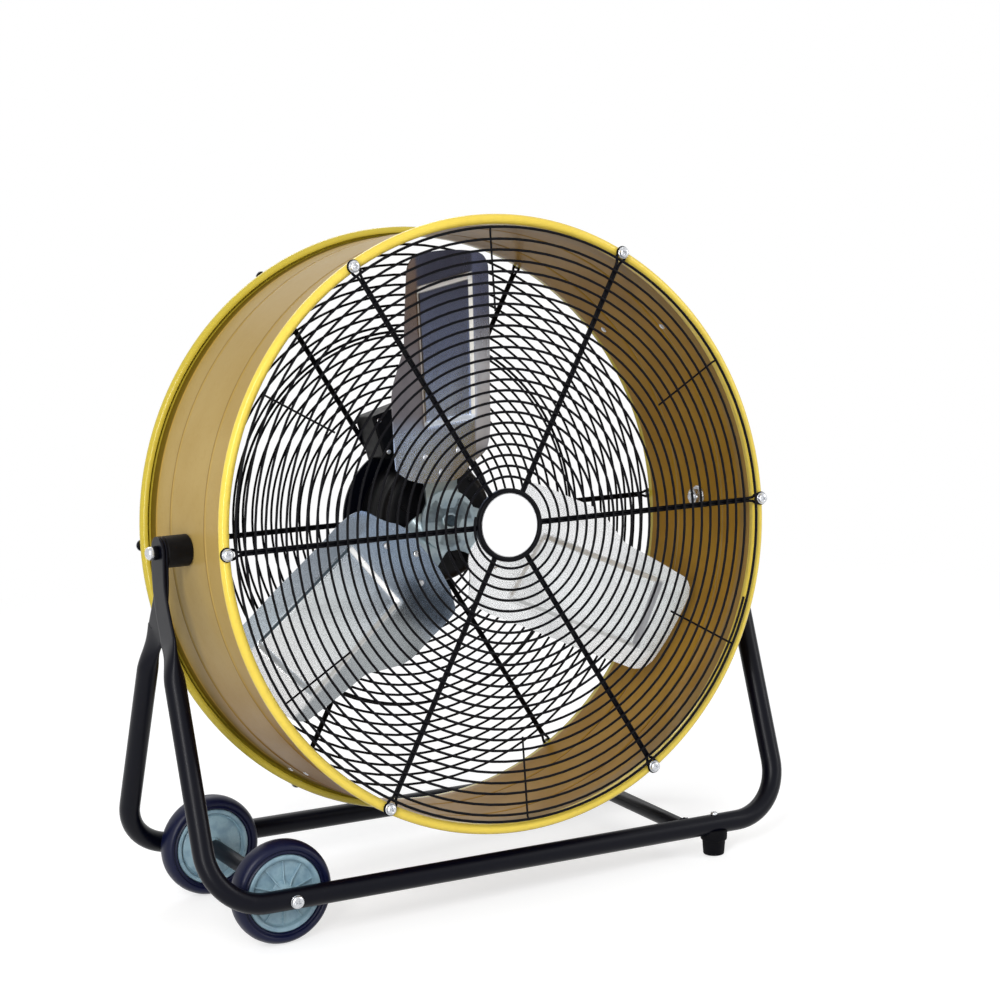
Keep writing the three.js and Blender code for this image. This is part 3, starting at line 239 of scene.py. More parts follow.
floor_mesh = bpy.data.meshes.new("floor")
floor_mesh.from_pydata([(-30, -30, 0), (30, -30, 0), (30, 30, 0), (-30, 30, 0)], [], [(0, 1, 2, 3)])
floor = bpy.data.objects.new("floor", floor_mesh)
bpy.context.scene.collection.objects.link(floor)
sweep = Finish("white_sweep")
ray = sweep.node("LightPath", {}, {}, "Is Camera Ray")
seen = ray + sweep.node("LightPath", {}, {}, "Is Glossy Ray")
place = sweep.node("NewGeometry", {}, {}, "Position")
distance = sweep.node("VectorMath", {"operation": "LENGTH"}, {0: place}, "Value")
lit = sweep.node("BsdfDiffuse", {}, {"Color": (0.5, 0.5, 0.5, 1)})
glow = sweep.node("Emission", {}, {"Color": WHITE, "Strength": 0.62})
both = sweep.node("AddShader", {}, {0: lit, 1: glow})
near = sweep.node("MixShader", {}, {0: seen, 1: lit, 2: both})
far = sweep.node("Emission", {}, {"Color": WHITE, "Strength": 1.0})
fade = seen * sweep.between(distance, FADE_START, FADE_END)
sweep.node("OutputMaterial", {}, {"Surface": sweep.node("MixShader", {}, {0: fade, 1: near, 2: far})})
floor_mesh.materials.append(sweep.material)


# ---- Stand frames ------------------------------------------------------------------------------
# Two U frames of 22 mm steel tube, bent cold, their ends pressed flat to take the pivot bolt.
# Black powder coat over everything.
def shape_of(*shapes):
    """Several (points, faces) as one."""
    points, faces = [], []
    for more_points, more_faces in shapes:
        faces += [[corner + len(points) for corner in face] for face in more_faces]
        points += more_points
    return points, faces


def moved(shape, matrix):
    return [matrix @ Vector(point) for point in shape[0]], shape[1]


def tube_faces(count, sides, closed=False):
    """Faces round count rings of corners, with a face over each end unless the last ring meets the first."""
    faces = []
    for i in range(count if closed else count - 1):
        here, there = i * sides, (i + 1) % count * sides
        for j in range(sides):
            k = (j + 1) % sides
            faces.append([here + j, here + k, there + k, there + j])
    if not closed:
        faces += [list(range(sides))[::-1], list(range((count - 1) * sides, count * sides))]
    return faces


def swept(path, flat, section, closed=False):
    """A bar along a path that lies square to flat. section(i) gives pairs (outward, along flat)."""
    points, count = [], len(path)
    for i, point in enumerate(path):
        ahead = path[(i + 1) % count if closed else min(i + 1, count - 1)]
        behind = path[i - 1 if closed or i else 0]
        into = (ahead - point).normalized() if (ahead - point).length > 1e-9 else Vector()
        out = (point - behind).normalized() if (point - behind).length > 1e-9 else Vector()
        along = (into + out).normalized()
        side = along.cross(flat).normalized()
        ring = section(i)
        points += [point + side * a + flat * b for a, b in ring]
    return points, tube_faces(count, len(ring), closed)


def circle(radius, sides):
    return [(radius * math.cos(j / sides * math.tau), radius * math.sin(j / sides * math.tau))
            for j in range(sides)]


def fit(name, shape, body, finish, *stands_for, sharp=35, bevel=0.0):
    """Makes a piece from a shape in millimetres, sets it in place and hangs it on its body."""
    slot, material = finish
    place = DRUM if body in ("drum", "fan", "knob") else STAND
    mesh = bpy.data.meshes.new(name)
    points = [Vector(point) for point in shape[0]]
    mesh.from_pydata([place @ point for point in points], [], shape[1])
    own = mesh.attributes.new("own_mm", "FLOAT_VECTOR", "POINT")
    own.data.foreach_set("vector", [value for point in points for value in point])
    mesh.polygons.foreach_set("use_smooth", [True] * len(mesh.polygons))
    mesh.set_sharp_from_angle(angle=math.radians(sharp))
    mesh.materials.append(material)
    made = bpy.data.objects.new(name, mesh)
    bpy.context.scene.collection.objects.link(made)
    if bevel:
        edge = made.modifiers.new("edge", "BEVEL")
        edge.width, edge.segments, edge.limit_method = bevel / 1000, 2, "ANGLE"
        edge.angle_limit = math.radians(sharp)
    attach(made, body)
    if stands_for:
        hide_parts(*stands_for)


def powder_coat(name, colour, roughness, peel=1.6, depth=0.02, shine=0.5):
    """Baked powder paint: orange peel, a little dust and uneven gloss."""
    coat = Finish(name)
    cloud = coat.between(coat.grain(60, 3), 0.35, 0.7)
    dust = coat.between(coat.grain(9, 4, rough=0.7), 0.55, 0.8)
    shade = coat.blend(cloud, colour, shaded(colour, 0.86))
    return coat.surface(
        Base_Color=coat.blend(dust * 0.5, shade, shaded(colour, 0.94, 0.004)),
        Roughness=roughness + cloud * 0.05 + dust * 0.07,
        Specular_IOR_Level=shine,
        Normal=coat.bump(coat.grain(peel, 2), depth, 0.5),
    )


black_paint = "black_paint", powder_coat("black_powder_coat", tone(2, 3, 14), 0.32, depth=0.012, shine=0.15)

TUBE_RADIUS = 11.1
TUBE_X = 346.0
BASE_HALF = 120.3
CONVERGE_HEIGHT = 313.3
BEND_RADIUS = 60.0
PRESS_START, PRESS_END = 216, 262  # heights between which a tube turns from round to flat
MERGE_START, MERGE_END = 246.0, 322.0  # heights between which an upright bends to the middle
PLATE_THICKNESS = 3.0
PLATE_WIDTH = 33.0
INNER_PLATE_X = TUBE_X - 3.7
OUTER_PLATE_X = INNER_PLATE_X + PLATE_THICKNESS + 0.3
lean = math.atan2(BASE_HALF, CONVERGE_HEIGHT)


def ease(value, low, high):
    share = min(max((value - low) / (high - low), 0), 1)
    return share * share * (3 - 2 * share)


def upright_depth(height):
    """How far from the stand's middle an upright's centre lies."""
    slope = -BASE_HALF / CONVERGE_HEIGHT
    if height <= MERGE_START:
        return BASE_HALF + slope * height
    if height >= MERGE_END:
        return 0.0
    t = (height - MERGE_START) / (MERGE_END - MERGE_START)
    leaving = (BASE_HALF + slope * MERGE_START) * (1 - 3 * t * t + 2 * t ** 3)
    return leaving + slope * (MERGE_END - MERGE_START) * t * (1 - t) ** 2


def stand_frame(side, plate_x):
    """side is -1 for the front frame and 1 for the rear one; its flat ends lie plate_x from the middle."""
    sides, bend_steps, crown = 28, 16, PLATE_WIDTH / 2
    climb = Vector((0, -side * math.sin(lean), math.cos(lean)))
    heights = [80 + 20 * i for i in range(7)] + [206 + 4 * i for i in range(33)] + [PIVOT_HEIGHT]
    heights += [PIVOT_HEIGHT + crown * math.sin(i / 8 * math.pi / 2) for i in range(1, 8)]
    heights.append(PIVOT_HEIGHT + crown - 0.05)
    half = []
    for i in range(bend_steps + 1):
        turn = i / bend_steps * math.pi / 2
        half.append(Vector((TUBE_X - BEND_RADIUS + BEND_RADIUS * math.sin(turn), side * BASE_HALF, 0))
                    + climb * BEND_RADIUS * (1 - math.cos(turn)))
    half += [Vector((TUBE_X, side * upright_depth(height), height)) for height in heights]
    path = [Vector((-point.x, point.y, point.z)) for point in reversed(half)] + half
    points = []
    for i, point in enumerate(path):
        before, after = path[max(i - 1, 0)], path[min(i + 1, len(path) - 1)]
        along = (after - before).normalized()
        pressed = ease(point.z, PRESS_START, PRESS_END)
        flat = Vector((0, math.cos(lean), side * math.sin(lean)))
        out = along.cross(flat).normalized()
        if point.z > BEND_RADIUS:
            out = Vector((1, 0, 0)) * (1 if out.x > 0 else -1)
            flat = out.cross(along).normalized() if pressed < 0.999 else Vector((0, 1, 0))
            flat = flat if flat.y > 0 else -flat
        cap = max(1 - (max(point.z - PIVOT_HEIGHT, 0) / crown) ** 2, 0)
        wide = crown + 3.5 * ease(point.z, 240, 262) * (1 - ease(point.z, 266, 320))
        middle = point + Vector(((1 if point.x > 0 else -1) * pressed * (plate_x - TUBE_X), 0, 0))
        for c, s in circle(1, sides):
            flattened = PLATE_THICKNESS / 2 * math.copysign(min(1, abs(c) * 2.6) ** 0.5, c)
            a = TUBE_RADIUS * c + (flattened - TUBE_RADIUS * c) * pressed
            b = TUBE_RADIUS * s + (wide * math.sqrt(cap) * s - TUBE_RADIUS * s) * pressed
            points.append(middle + out * a + flat * b)
    return points, tube_faces(len(path), sides)


fit("front_frame_tube", stand_frame(-1, OUTER_PLATE_X), "stand", black_paint, "stand_frame_front", sharp=50)
fit("rear_frame_tube", stand_frame(1, INNER_PLATE_X), "stand", black_paint, "stand_frame_rear", sharp=50)

# ---- Cross tube --------------------------------------------------------------------------------
# A 17 mm tube between the two bottom tubes at the feet's end, welded at both ends.
CROSS_TUBE_X = 220.0
CROSS_TUBE_RADIUS = 8.5
WELD_BEAD = 2.0


def rod(path, radius, flat, sides=12):
    return swept([Vector(point) for point in path], Vector(flat), lambda i: circle(radius, sides))


def weld(radius, place, spread, seed):
    """A lumpy fillet round the end of a bar that meets a tube of TUBE_RADIUS."""
    dice = random.Random(seed)
    steps, sides = 40, 8
    path = []
    for x, z in circle(radius + WELD_BEAD * 0.3, steps):
        depth = spread * math.sqrt(max(TUBE_RADIUS ** 2 - z * z, 4))
        path.append(Vector((place[0] + x, place[1] + depth, place[2] + z)))
    sizes = [WELD_BEAD * (1 + 0.18 * math.sin(i * 2.1) + dice.uniform(-0.1, 0.1)) for i in range(steps)]
    return swept(path, Vector((0, 1, 0)), lambda i: circle(sizes[i], sides), closed=True)


reach = BASE_HALF - 6
fit("cross_tube", shape_of(
    rod([(CROSS_TUBE_X, -reach, 0), (CROSS_TUBE_X, reach, 0)], CROSS_TUBE_RADIUS, (0, 0, 1), 32),
    weld(CROSS_TUBE_RADIUS, (CROSS_TUBE_X, -BASE_HALF, 0), 1, 3),
    weld(CROSS_TUBE_RADIUS, (CROSS_TUBE_X, BASE_HALF, 0), -1, 4)),
    "stand", black_paint, "stand_cross_tube")


# ---- Feet --------------------------------------------------------------------------------------
# Moulded rubber cups pushed up under the bottom tubes and held by a screw down through the tube.
def turned(profile, steps=64):
    """A piece turned about Y from (radius, y) pairs. A profile that starts off the axis closes on itself."""
    points, faces, rings = [], [], []
    for radius, y in profile:
        on_axis = radius < 1e-6
        rings.append(list(range(len(points), len(points) + (1 if on_axis else steps))))
        points += [Vector((0, y, 0))] if on_axis else [Vector((s, y, c)) for c, s in circle(radius, steps)]
    pairs = list(zip(rings, rings[1:]))
    if len(rings[0]) > 1:
        pairs.append((rings[-1], rings[0]))
    for here, there in pairs:
        for i in range(steps if len(here) + len(there) > 2 else 0):
            k = (i + 1) % steps
            if len(here) == 1:
                faces.append([here[0], there[k], there[i]])
            elif len(there) == 1:
                faces.append([here[i], here[k], there[0]])
            else:
                faces.append([here[i], here[k], there[k], there[i]])
    return points, faces


UPWARD = Matrix.Rotation(math.pi / 2, 4, "X")  # lays the turning axis along Z
SIDEWAYS = Matrix.Rotation(-math.pi / 2, 4, "Z")  # lays it along X
FORWARD = Matrix.Rotation(math.pi, 4, "X")  # turns a screw's head to the front


def moulded_rubber(name, colour, roughness=0.62, shine=0.08):
    rubber = Finish(name)
    cloud = rubber.between(rubber.grain(14, 4, rough=0.6), 0.35, 0.75)
    bloom = rubber.between(rubber.grain(3.5, 3), 0.5, 0.8)
    return rubber.surface(
        Base_Color=rubber.blend(cloud * 0.6 + bloom * 0.2, colour, shaded(colour, 0.9, 0.003)),
        Roughness=roughness + cloud * 0.12 - bloom * 0.06,
        Specular_IOR_Level=shine,
        Normal=rubber.bump(rubber.grain(0.8, 3), 0.05, 0.5),
    )


FOOT_X = 255.3
FOOT_HEIGHT = 33.75
foot_rubber = "black_rubber", moulded_rubber("foot_rubber", tone(4, 4, 8))
foot_profile = [
    (0, -FOOT_HEIGHT + 0.6), (6.5, -FOOT_HEIGHT + 0.6), (7.2, -FOOT_HEIGHT), (10.2, -FOOT_HEIGHT),
    (11.2, -FOOT_HEIGHT + 0.4), (11.7, -FOOT_HEIGHT + 1.5), (12.75, -18.6), (12.9, -17.4),
    (14.1, -16.7), (14.7, -15.8), (14.75, -12), (14.75, -6.5), (14.3, -5.4), (13.4, -5), (0, -5)]
for side, word in ((-1, "front"), (1, "rear")):
    stance = Matrix.Translation((FOOT_X, side * BASE_HALF, 0)) @ UPWARD
    fit(f"foot_{word}_cup", moved(turned(foot_profile, 48), stance), "stand", foot_rubber, f"foot_{word}")


# ---- Screws ------------------------------------------------------------------------------------
# Bright zinc-plated pan heads with a cross recess, some with a loose washer under the head.
def zinc_plate(name, colour=tone(214, 216, 220), roughness=0.24):
    plate = Finish(name)
    cloud = plate.between(plate.grain(2.5, 4, rough=0.65), 0.35, 0.7)
    scratch = plate.between(plate.grain(0.5, 2, stretch=(6, 1, 1)), 0.55, 0.75)
    return plate.surface(
        Base_Color=plate.blend(cloud, colour, shaded(colour, 0.72)),
        Metallic=1.0,
        Roughness=roughness + cloud * 0.16 + scratch * 0.1,
        Normal=plate.bump(plate.grain(0.7, 3), 0.02, 0.5),
    )


zinc = "zinc", zinc_plate("zinc_plate")


def pan_head(radius, height, recess, steps=32):
    """A domed head on y = 0 whose top faces +Y, with a cross recess."""
    dome = [(1, 0), (1, 0.35), (0.95, 0.58), (0.82, 0.8), (0.62, 0.93), (0.5, 0.97), (0.4, 1)]
    rows = [(radius * across, height * up) for across, up in dome]
    rows += [(radius * across, height) for across in (0.3, 0.2, 0.1)]
    points = [Vector((s, y, c)) for r, y in rows for c, s in circle(r, steps)]
    arm, slot_half, first_row_cut = radius * 0.56, radius * 0.1, 4
    for point in points[steps * first_row_cut:]:
        within, reach = sorted((abs(point.x), abs(point.z)))
        if within < slot_half and reach < arm:
            point.y -= recess * (1 - reach / arm * 0.6)
    faces = tube_faces(len(rows), steps)
    top = faces.pop()
    points.append(Vector((0, height - recess, 0)))
    faces += [[top[i], top[(i + 1) % steps], len(points) - 1] for i in range(steps)]
    return points, faces


def screw(head, height, shank, length, washer=0.0, thickness=0.0):
    """Stands on y = 0 with its head towards +Y. head, shank and washer are radii."""
    shapes = [moved(pan_head(head, height, height * 0.45), Matrix.Translation((0, thickness, 0)))]
    if thickness:
        edge = 0.25
        ring = [(0, 0), (washer - edge, 0), (washer, edge)]
        shapes.append(turned(ring + [(radius, thickness - y) for radius, y in reversed(ring)], 40))
    shapes.append(turned([(0, -length), (shank, -length), (shank, 0.1), (0, 0.1)], 16))
    return shape_of(*shapes)


for side, word in ((-1, "front"), (1, "rear")):
    stance = Matrix.Translation((FOOT_X, side * BASE_HALF, TUBE_RADIUS + 0.2)) @ UPWARD
    fit(f"foot_screw_{word}_head", moved(screw(head=4.0, height=2.8, shank=2.5, length=30), stance),
        "stand", zinc, f"foot_screw_{word}")

# ---- Axle --------------------------------------------------------------------------------------
# One long bolt through both bottom tubes, with a black sleeve that keeps the wheels apart.
WHEEL_X = -258.5
WHEEL_Y = 92.0
WHEEL_WIDTH = 26.0
AXLE_RADIUS = 5.0
BORE_RADIUS = 5.1
axle = Matrix.Translation((WHEEL_X, 0, 0))
seat = BASE_HALF + TUBE_RADIUS + 0.3
head = moved(screw(head=6.8, height=3.6, shank=AXLE_RADIUS, length=30, washer=7.0, thickness=1.2),
             axle @ Matrix.Translation((0, -seat, 0)) @ FORWARD)
shaft = rod([(WHEEL_X, -seat + 1, 0), (WHEEL_X, seat + 9.6, 0)], AXLE_RADIUS, (0, 0, 1), 24)
fit("axle_bolt_and_washer", shape_of(head, shaft), "stand", zinc, "axle_bolt")


def hexagon_nut(flats, height, bore):
    """On y = 0, chamfered at both faces."""
    points, steps, chamfer = [], 48, 1.1
    rows = [("bore", 0), ("face", 0), ("side", chamfer), ("side", height - chamfer), ("face", height),
            ("bore", height)]
    for kind, y in rows:
        for i in range(steps):
            turn = i / steps * math.tau
            within = (turn + math.pi / 6) % (math.pi / 3) - math.pi / 6
            edge = flats / 2 / math.cos(within)
            size = {"bore": bore, "face": min(edge, flats / 2 + 0.1), "side": edge}[kind]
            points.append(Vector((size * math.sin(turn), y, size * math.cos(turn))))
    return points, tube_faces(len(rows), steps, closed=True)


nut = hexagon_nut(16, 7, BORE_RADIUS)
fit("axle_hexagon_nut", moved(nut, axle @ Matrix.Translation((0, seat, 0))), "stand", zinc, "axle_nut")
reach = WHEEL_Y - WHEEL_WIDTH / 2 - 1.3
sleeve = [(5.4, -reach), (8.1, -reach), (8.75, -reach + 0.7), (8.75, reach - 0.7), (8.1, reach),
          (5.4, reach)]
fit("axle_spacer_sleeve", moved(turned(sleeve, 40), axle), "stand", black_paint, "axle_sleeve")

# ---- Wheels ------------------------------------------------------------------------------------
# Moulded grey-blue hubs with thin ribs between boss and rim, in round navy-black rubber tyres.
WHEEL_RADIUS = 54.75
HUB_RADIUS = 41.0
RIBS = 10
RIB_HALF = 0.7
tyre_rubber = "tyre_rubber", moulded_rubber("tyre_rubber", tone(6, 12, 44), 0.36, 0.24)


def hub_plastic_finish():
    plastic = Finish("grey_hub_plastic")
    cloud = plastic.between(plastic.grain(12, 3), 0.35, 0.7)
    speck = plastic.between(plastic.grain(1.1, 2), 0.6, 0.8)
    shade = plastic.blend(cloud, tone(136, 164, 176), tone(112, 140, 156))
    return plastic.surface(
        Base_Color=plastic.blend(speck * 0.35, shade, tone(96, 120, 138)),
        Roughness=0.26 + cloud * 0.1,
        Normal=plastic.bump(plastic.grain(0.9, 2), 0.03, 0.5),
    )


hub_plastic = "hub_plastic", hub_plastic_finish()


def tyre_profile():
    """Out from the hub along one side, over the tread and back along the other side."""
    half = WHEEL_WIDTH / 2
    outer = [(HUB_RADIUS + 0.4, 3.4), (42.2, 1.4), (43.2, 0.9), (44.2, 1.9), (45.2, 2.1), (46.2, 0.4),
             (48.0, 0), (50.2, 0.9), (51.9, 2.6), (53.3, 5.0), (54.3, 8.0), (WHEEL_RADIUS, 11.0)]
    front = [(radius, -half + y) for radius, y in outer]
    return front + [(radius, -y) for radius, y in reversed(front)]


def prism_faces(sides):
    """Faces of a piece between two outlines of that many corners each."""
    ends = [list(range(sides)), list(range(sides, 2 * sides))[::-1]]
    return ends + [[i, i + sides, (i + 1) % sides + sides, (i + 1) % sides] for i in range(sides)]


def turns_round(count):
    """Turns about Y that spread count pieces round the axis, the first one half a step on."""
    return [Matrix.Rotation((i + 0.5) / count * math.tau, 4, "Y") for i in range(count)]


def hub_shape():
    """Its ribbed side faces -Y and its plain side +Y."""
    half = WHEEL_WIDTH / 2
    ribbed = [(5.4, -half - 1), (7.6, -half - 1), (8.4, -half - 0.3), (11.6, -6.2), (12.6, -5.2),
              (33.2, -5.2), (34.6, -6.2), (35.4, -9.6), (36.1, -half + 2.6), (37.3, -half + 2),
              (39.9, -half + 2), (HUB_RADIUS, -half + 3.2)]
    plain = [(HUB_RADIUS, half - 3.2), (39.9, half - 2), (37.3, half - 2), (36.6, half - 2.8), (35.6, 6.4),
             (34.6, 5.6), (33.6, 7.2), (32.6, 7.8), (13, 7.8), (10.4, 8.6), (8.4, half + 0.3),
             (7.6, half + 1), (5.4, half + 1)]
    top = [(7.5, -half + 0.6), (16, -8.2), (35.5, -6.8)]
    outline = [(radius, -4.6) for radius, _ in top] + top[::-1]
    points = [Vector((r, y, s)) for s in (-RIB_HALF, RIB_HALF) for r, y in outline]
    rib = points, prism_faces(len(outline))
    return shape_of(turned(ribbed + plain, 96), *[moved(rib, turn) for turn in turns_round(RIBS)])


for side, word in ((-1, "front"), (1, "rear")):
    stance = Matrix.Translation((WHEEL_X, side * WHEEL_Y, 0))
    body = f"wheel_{word}"
    tyre = moved(turned(tyre_profile(), 120), stance)
    fit(f"{body}_tyre", tyre, body, tyre_rubber, f"wheel_tyre_{word}", sharp=60)
    hub = moved(hub_shape(), stance @ (Matrix.Identity(4) if side < 0 else FORWARD))
    fit(f"{body}_hub", hub, body, hub_plastic, f"wheel_hub_{word}", bevel=0.3)

# ---- Drum --------------------------------------------------------------------------------------
# Sheet steel rolled into a short drum with two low ribs. It opens a little towards each end, where
# its edge is curled round. Yellow powder coat inside and out; a lapped seam with pop rivets.
DRUM_RADIUS = 313.0
DRUM_WALL = 1.4
BEAD_RADIUS = 5.5
BEAD_CENTRE_RADIUS = 318.5  # the circle of the rim screws
CURL_CENTRE_RADIUS = 317.95
CURL_STEPS = 24
CURL_TURN = 285.0
BEAD_SPACING = 210.7
RIB_OFFSET = 45.0
RIB_HEIGHT = 1.1
FLARE_OFFSET = 84.0


def drum_line():
    """The middle of the sheet from one curl to the other, as (radius, y)."""
    half, curl = BEAD_SPACING / 2, BEAD_RADIUS - DRUM_WALL / 2
    middle, neck = DRUM_RADIUS - DRUM_WALL / 2, CURL_CENTRE_RADIUS - curl
    line = []
    for step in range(CURL_STEPS + 1):
        turn = math.radians(CURL_TURN - step / CURL_STEPS * CURL_TURN)
        line.append((CURL_CENTRE_RADIUS - curl * math.cos(turn), -half - curl * math.sin(turn)))
    y = -half + 1.3
    while y < -0.01:
        rib = RIB_HEIGHT * math.exp(-((abs(y) - RIB_OFFSET) / 1.9) ** 2)
        line.append((neck + (middle - neck) * ease(y, -half, -FLARE_OFFSET) + rib, y))
        y += 0.8 if abs(abs(y) - RIB_OFFSET) < 6 else 2.0 if y < -FLARE_OFFSET else 4.0
    return line + [(middle, 0.0)] + [(radius, -y) for radius, y in reversed(line)]


def sheet_section(line, thickness):
    """Two skins either side of a line, as one closed profile."""
    outside, inside = [], []
    for i, (radius, y) in enumerate(line):
        before, after = line[max(i - 1, 0)], line[min(i + 1, len(line) - 1)]
        along = Vector((after[0] - before[0], after[1] - before[1])).normalized()
        outside.append((radius + along.y * thickness / 2, y - along.x * thickness / 2))
        inside.append((radius - along.y * thickness / 2, y + along.x * thickness / 2))
    return outside + inside[::-1]


def yellow_finish():
    """Thick and bright on the curled rims, thin and tanned on the wall; painted shade inside, underneath and
    along the ribs, and painted shade and a painted highlight beside each rim.
    """
    coat = Finish("yellow_powder_coat")
    x, y, z = coat.axes()
    radius = (x * x + z * z) ** 0.5
    depth = (y * y) ** 0.5
    cloud = coat.between(coat.grain(90, 3), 0.3, 0.7)
    fine = coat.between(coat.grain(6, 4, rough=0.65), 0.45, 0.8)

    # Where each shade lies.
    flared = coat.between(depth, FLARE_OFFSET, BEAD_SPACING / 2) * 1.4
    inside = 1 - coat.between(radius - flared, 312.1, 312.5)
    rim = coat.between(depth, 98.6, 100.2)
    rear_rim_shade = coat.between(y, 96, 99)
    # The band beside each rim where painted shade and a painted highlight lie.
    rim_groove_shade = coat.between(depth, 80, 88) * (1 - rim)
    from_rib = RIB_OFFSET - depth
    # A thin painted shadow line along each rib.
    rib_shadow_line = 1 - coat.between(from_rib * from_rib, 0.3, 4.0)
    over, under = coat.between(z, 60, 290), coat.between(0 - z, 60, 290)
    lip = coat.between(0 - y, 80, 84)

    wall = coat.blend(cloud * 0.7, tone(180, 153, 92), tone(170, 141, 78))
    # The wall turns darker towards the top; underneath, and most of all underneath towards the rear, the
    # browns are painted shade.
    wall = coat.blend(over * 0.7, wall, tone(150, 122, 58))
    wall = coat.blend(under * 0.9, wall, tone(124, 80, 14))
    wall = coat.blend(under * coat.between(y, 20, 92) * 0.8, wall, tone(70, 44, 6))
    # The painted shadow line darkens the wall along each rib.
    wall = coat.blend(rib_shadow_line * 0.5, wall, tone(112, 84, 34))
    # Beside each rim: a golden painted highlight along the flare's edge, then dark olive painted shade and
    # reflection in the groove by the curl.
    groove_shade_and_highlight = coat.blend(coat.between(depth, 84, 87), tone(196, 148, 40), tone(96, 76, 6))
    wall = coat.blend(rim_groove_shade * 0.95, wall, groove_shade_and_highlight)
    # The lining is painted darker and browner than the wall outside to stand for the shade inside the drum;
    # near the front edge it turns a paler grey-tan.
    shaded_lining = coat.blend(cloud, tone(160, 120, 34), tone(146, 107, 28))
    shaded_lining = coat.blend(lip, shaded_lining, tone(146, 116, 62))
    gold = coat.blend(cloud * 0.6, tone(236, 209, 84), tone(226, 196, 74))
    # The rear rim is painted darker and greener than the front one: painted shade.
    gold = coat.blend(rear_rim_shade * 0.8, gold, tone(188, 170, 50))
    shade = coat.blend(rim, coat.blend(inside, wall, shaded_lining), gold)
    return coat.surface(
        Base_Color=coat.blend(fine * 0.12, shade, tone(150, 120, 50)),
        Roughness=0.3 + cloud * 0.06 + fine * 0.05 - rim * 0.1,
        Specular_IOR_Level=0.1,
        IOR=1.35,
        Coat_Weight=rim * 0.5,
        Coat_Roughness=0.16,
        Normal=coat.bump(coat.grain(1.8, 2), 0.02, 0.4),
    )


yellow_paint = "yellow_paint", yellow_finish()
sheet = turned(sheet_section(drum_line(), DRUM_WALL), 180)
fit("drum_rolled_sheet", sheet, "drum", yellow_paint, "drum_shell", sharp=60)


def polar(distance, angle, y=0.0, aside=0.0):
    """A point in the drum: distance and angle in degrees about its axis, anticlockwise from the right."""
    turn = math.radians(angle)
    return Vector((distance * math.cos(turn) - aside * math.sin(turn), y,
                   distance * math.sin(turn) + aside * math.cos(turn)))


def facing(angle):
    """Turns a piece made along +Y outwards along the drum's radius at angle."""
    return Matrix.Rotation(-math.radians(angle), 4, "Y") @ SIDEWAYS


def rivet(radius, height):
    dome = [(1, 0.3), (0.86, 0.68), (0.55, 0.93), (0.2, 1), (0, 1)]
    rows = [(radius * across, height * up) for across, up in dome]
    return turned([(0, -0.6), (radius, -0.6)] + rows, 24)


seam_rivets = []
for angle, y in ((38.7, -51.0), (38.7, 72.0), (-126.0, 33.0), (-126.0, 72.0)):
    inside = Matrix.Translation(polar(DRUM_RADIUS - DRUM_WALL, angle, y)) @ facing(angle) @ FORWARD
    outside = Matrix.Translation(polar(DRUM_RADIUS, angle, y)) @ facing(angle)
    seam_rivets += [moved(rivet(3.6, 1.6), inside), moved(rivet(3.2, 1.2), outside)]
fit("drum_rivets", shape_of(*seam_rivets), "drum", zinc)

# ---- Pivots ------------------------------------------------------------------------------------
# A bolt through both pressed tube ends, a thick black bush and the drum's wall; the nut is inside.
BUSH_RADIUS = 16.5
PIVOT_BOLT_RADIUS = 5.0
OUTER_FACE_X = OUTER_PLATE_X + PLATE_THICKNESS / 2
INNER_FACE_X = INNER_PLATE_X - PLATE_THICKNESS / 2


def black_plastic_finish():
    plastic = Finish("black_nylon")
    cloud = plastic.between(plastic.grain(10, 3), 0.35, 0.7)
    colour = tone(5, 5, 8)
    return plastic.surface(
        Base_Color=plastic.blend(cloud, colour, shaded(colour, 1, 0.002)),
        Roughness=0.42 + cloud * 0.1,
        Specular_IOR_Level=0.15,
        Normal=plastic.bump(plastic.grain(0.6, 3), 0.04, 0.5),
    )


black_plastic = "black_plastic", black_plastic_finish()
wall_inside = DRUM_RADIUS - DRUM_WALL - 0.3
for sign, word in ((-1, "left"), (1, "right")):
    lay = SIDEWAYS if sign > 0 else Matrix.Rotation(math.pi, 4, "Z") @ SIDEWAYS
    start, stop = DRUM_RADIUS + 0.4, INNER_FACE_X - 0.2
    bush = [(5.3, start), (BUSH_RADIUS - 1.2, start), (BUSH_RADIUS, start + 1.2), (BUSH_RADIUS, stop - 1.2),
            (BUSH_RADIUS - 1.2, stop), (5.3, stop)]
    fit(f"pivot_bush_{word}_moulded", moved(turned(bush, 48), lay), "drum", black_plastic,
        f"pivot_bush_{word}")
    start = OUTER_FACE_X + 0.2
    collar = [(5.3, start), (6.9, start), (7.25, start + 0.5), (7.25, start + 4.6), (6.6, start + 5.4),
              (5.3, start + 5.4)]
    fit(f"pivot_collar_{word}_moulded", moved(turned(collar, 40), lay), "drum", black_plastic,
        f"pivot_collar_{word}")
    start += 5.5
    tip = wall_inside - 12
    bolt = [(0, tip), (4.4, tip), (PIVOT_BOLT_RADIUS, tip + 0.7), (PIVOT_BOLT_RADIUS, start), (6.75, start),
            (6.75, start + 2.2), (6.5, start + 3.6), (5.6, start + 5), (4, start + 6), (2, start + 6.4),
            (0, start + 6.5)]
    fit(f"pivot_bolt_{word}_domed", moved(turned(bolt, 40), lay), "drum", zinc, f"pivot_bolt_{word}")
    washer = [(5.3, -2), (11.7, -2), (12, -1.7), (12, -0.3), (11.7, 0), (5.3, 0)]
    nut = moved(hexagon_nut(17, 7, BORE_RADIUS), Matrix.Translation((0, wall_inside - 9, 0)))
    ring = moved(turned(washer, 40), Matrix.Translation((0, wall_inside, 0)))
    fit(f"pivot_nut_{word}_and_washer", moved(shape_of(nut, ring), lay), "drum", zinc, f"pivot_nut_{word}")

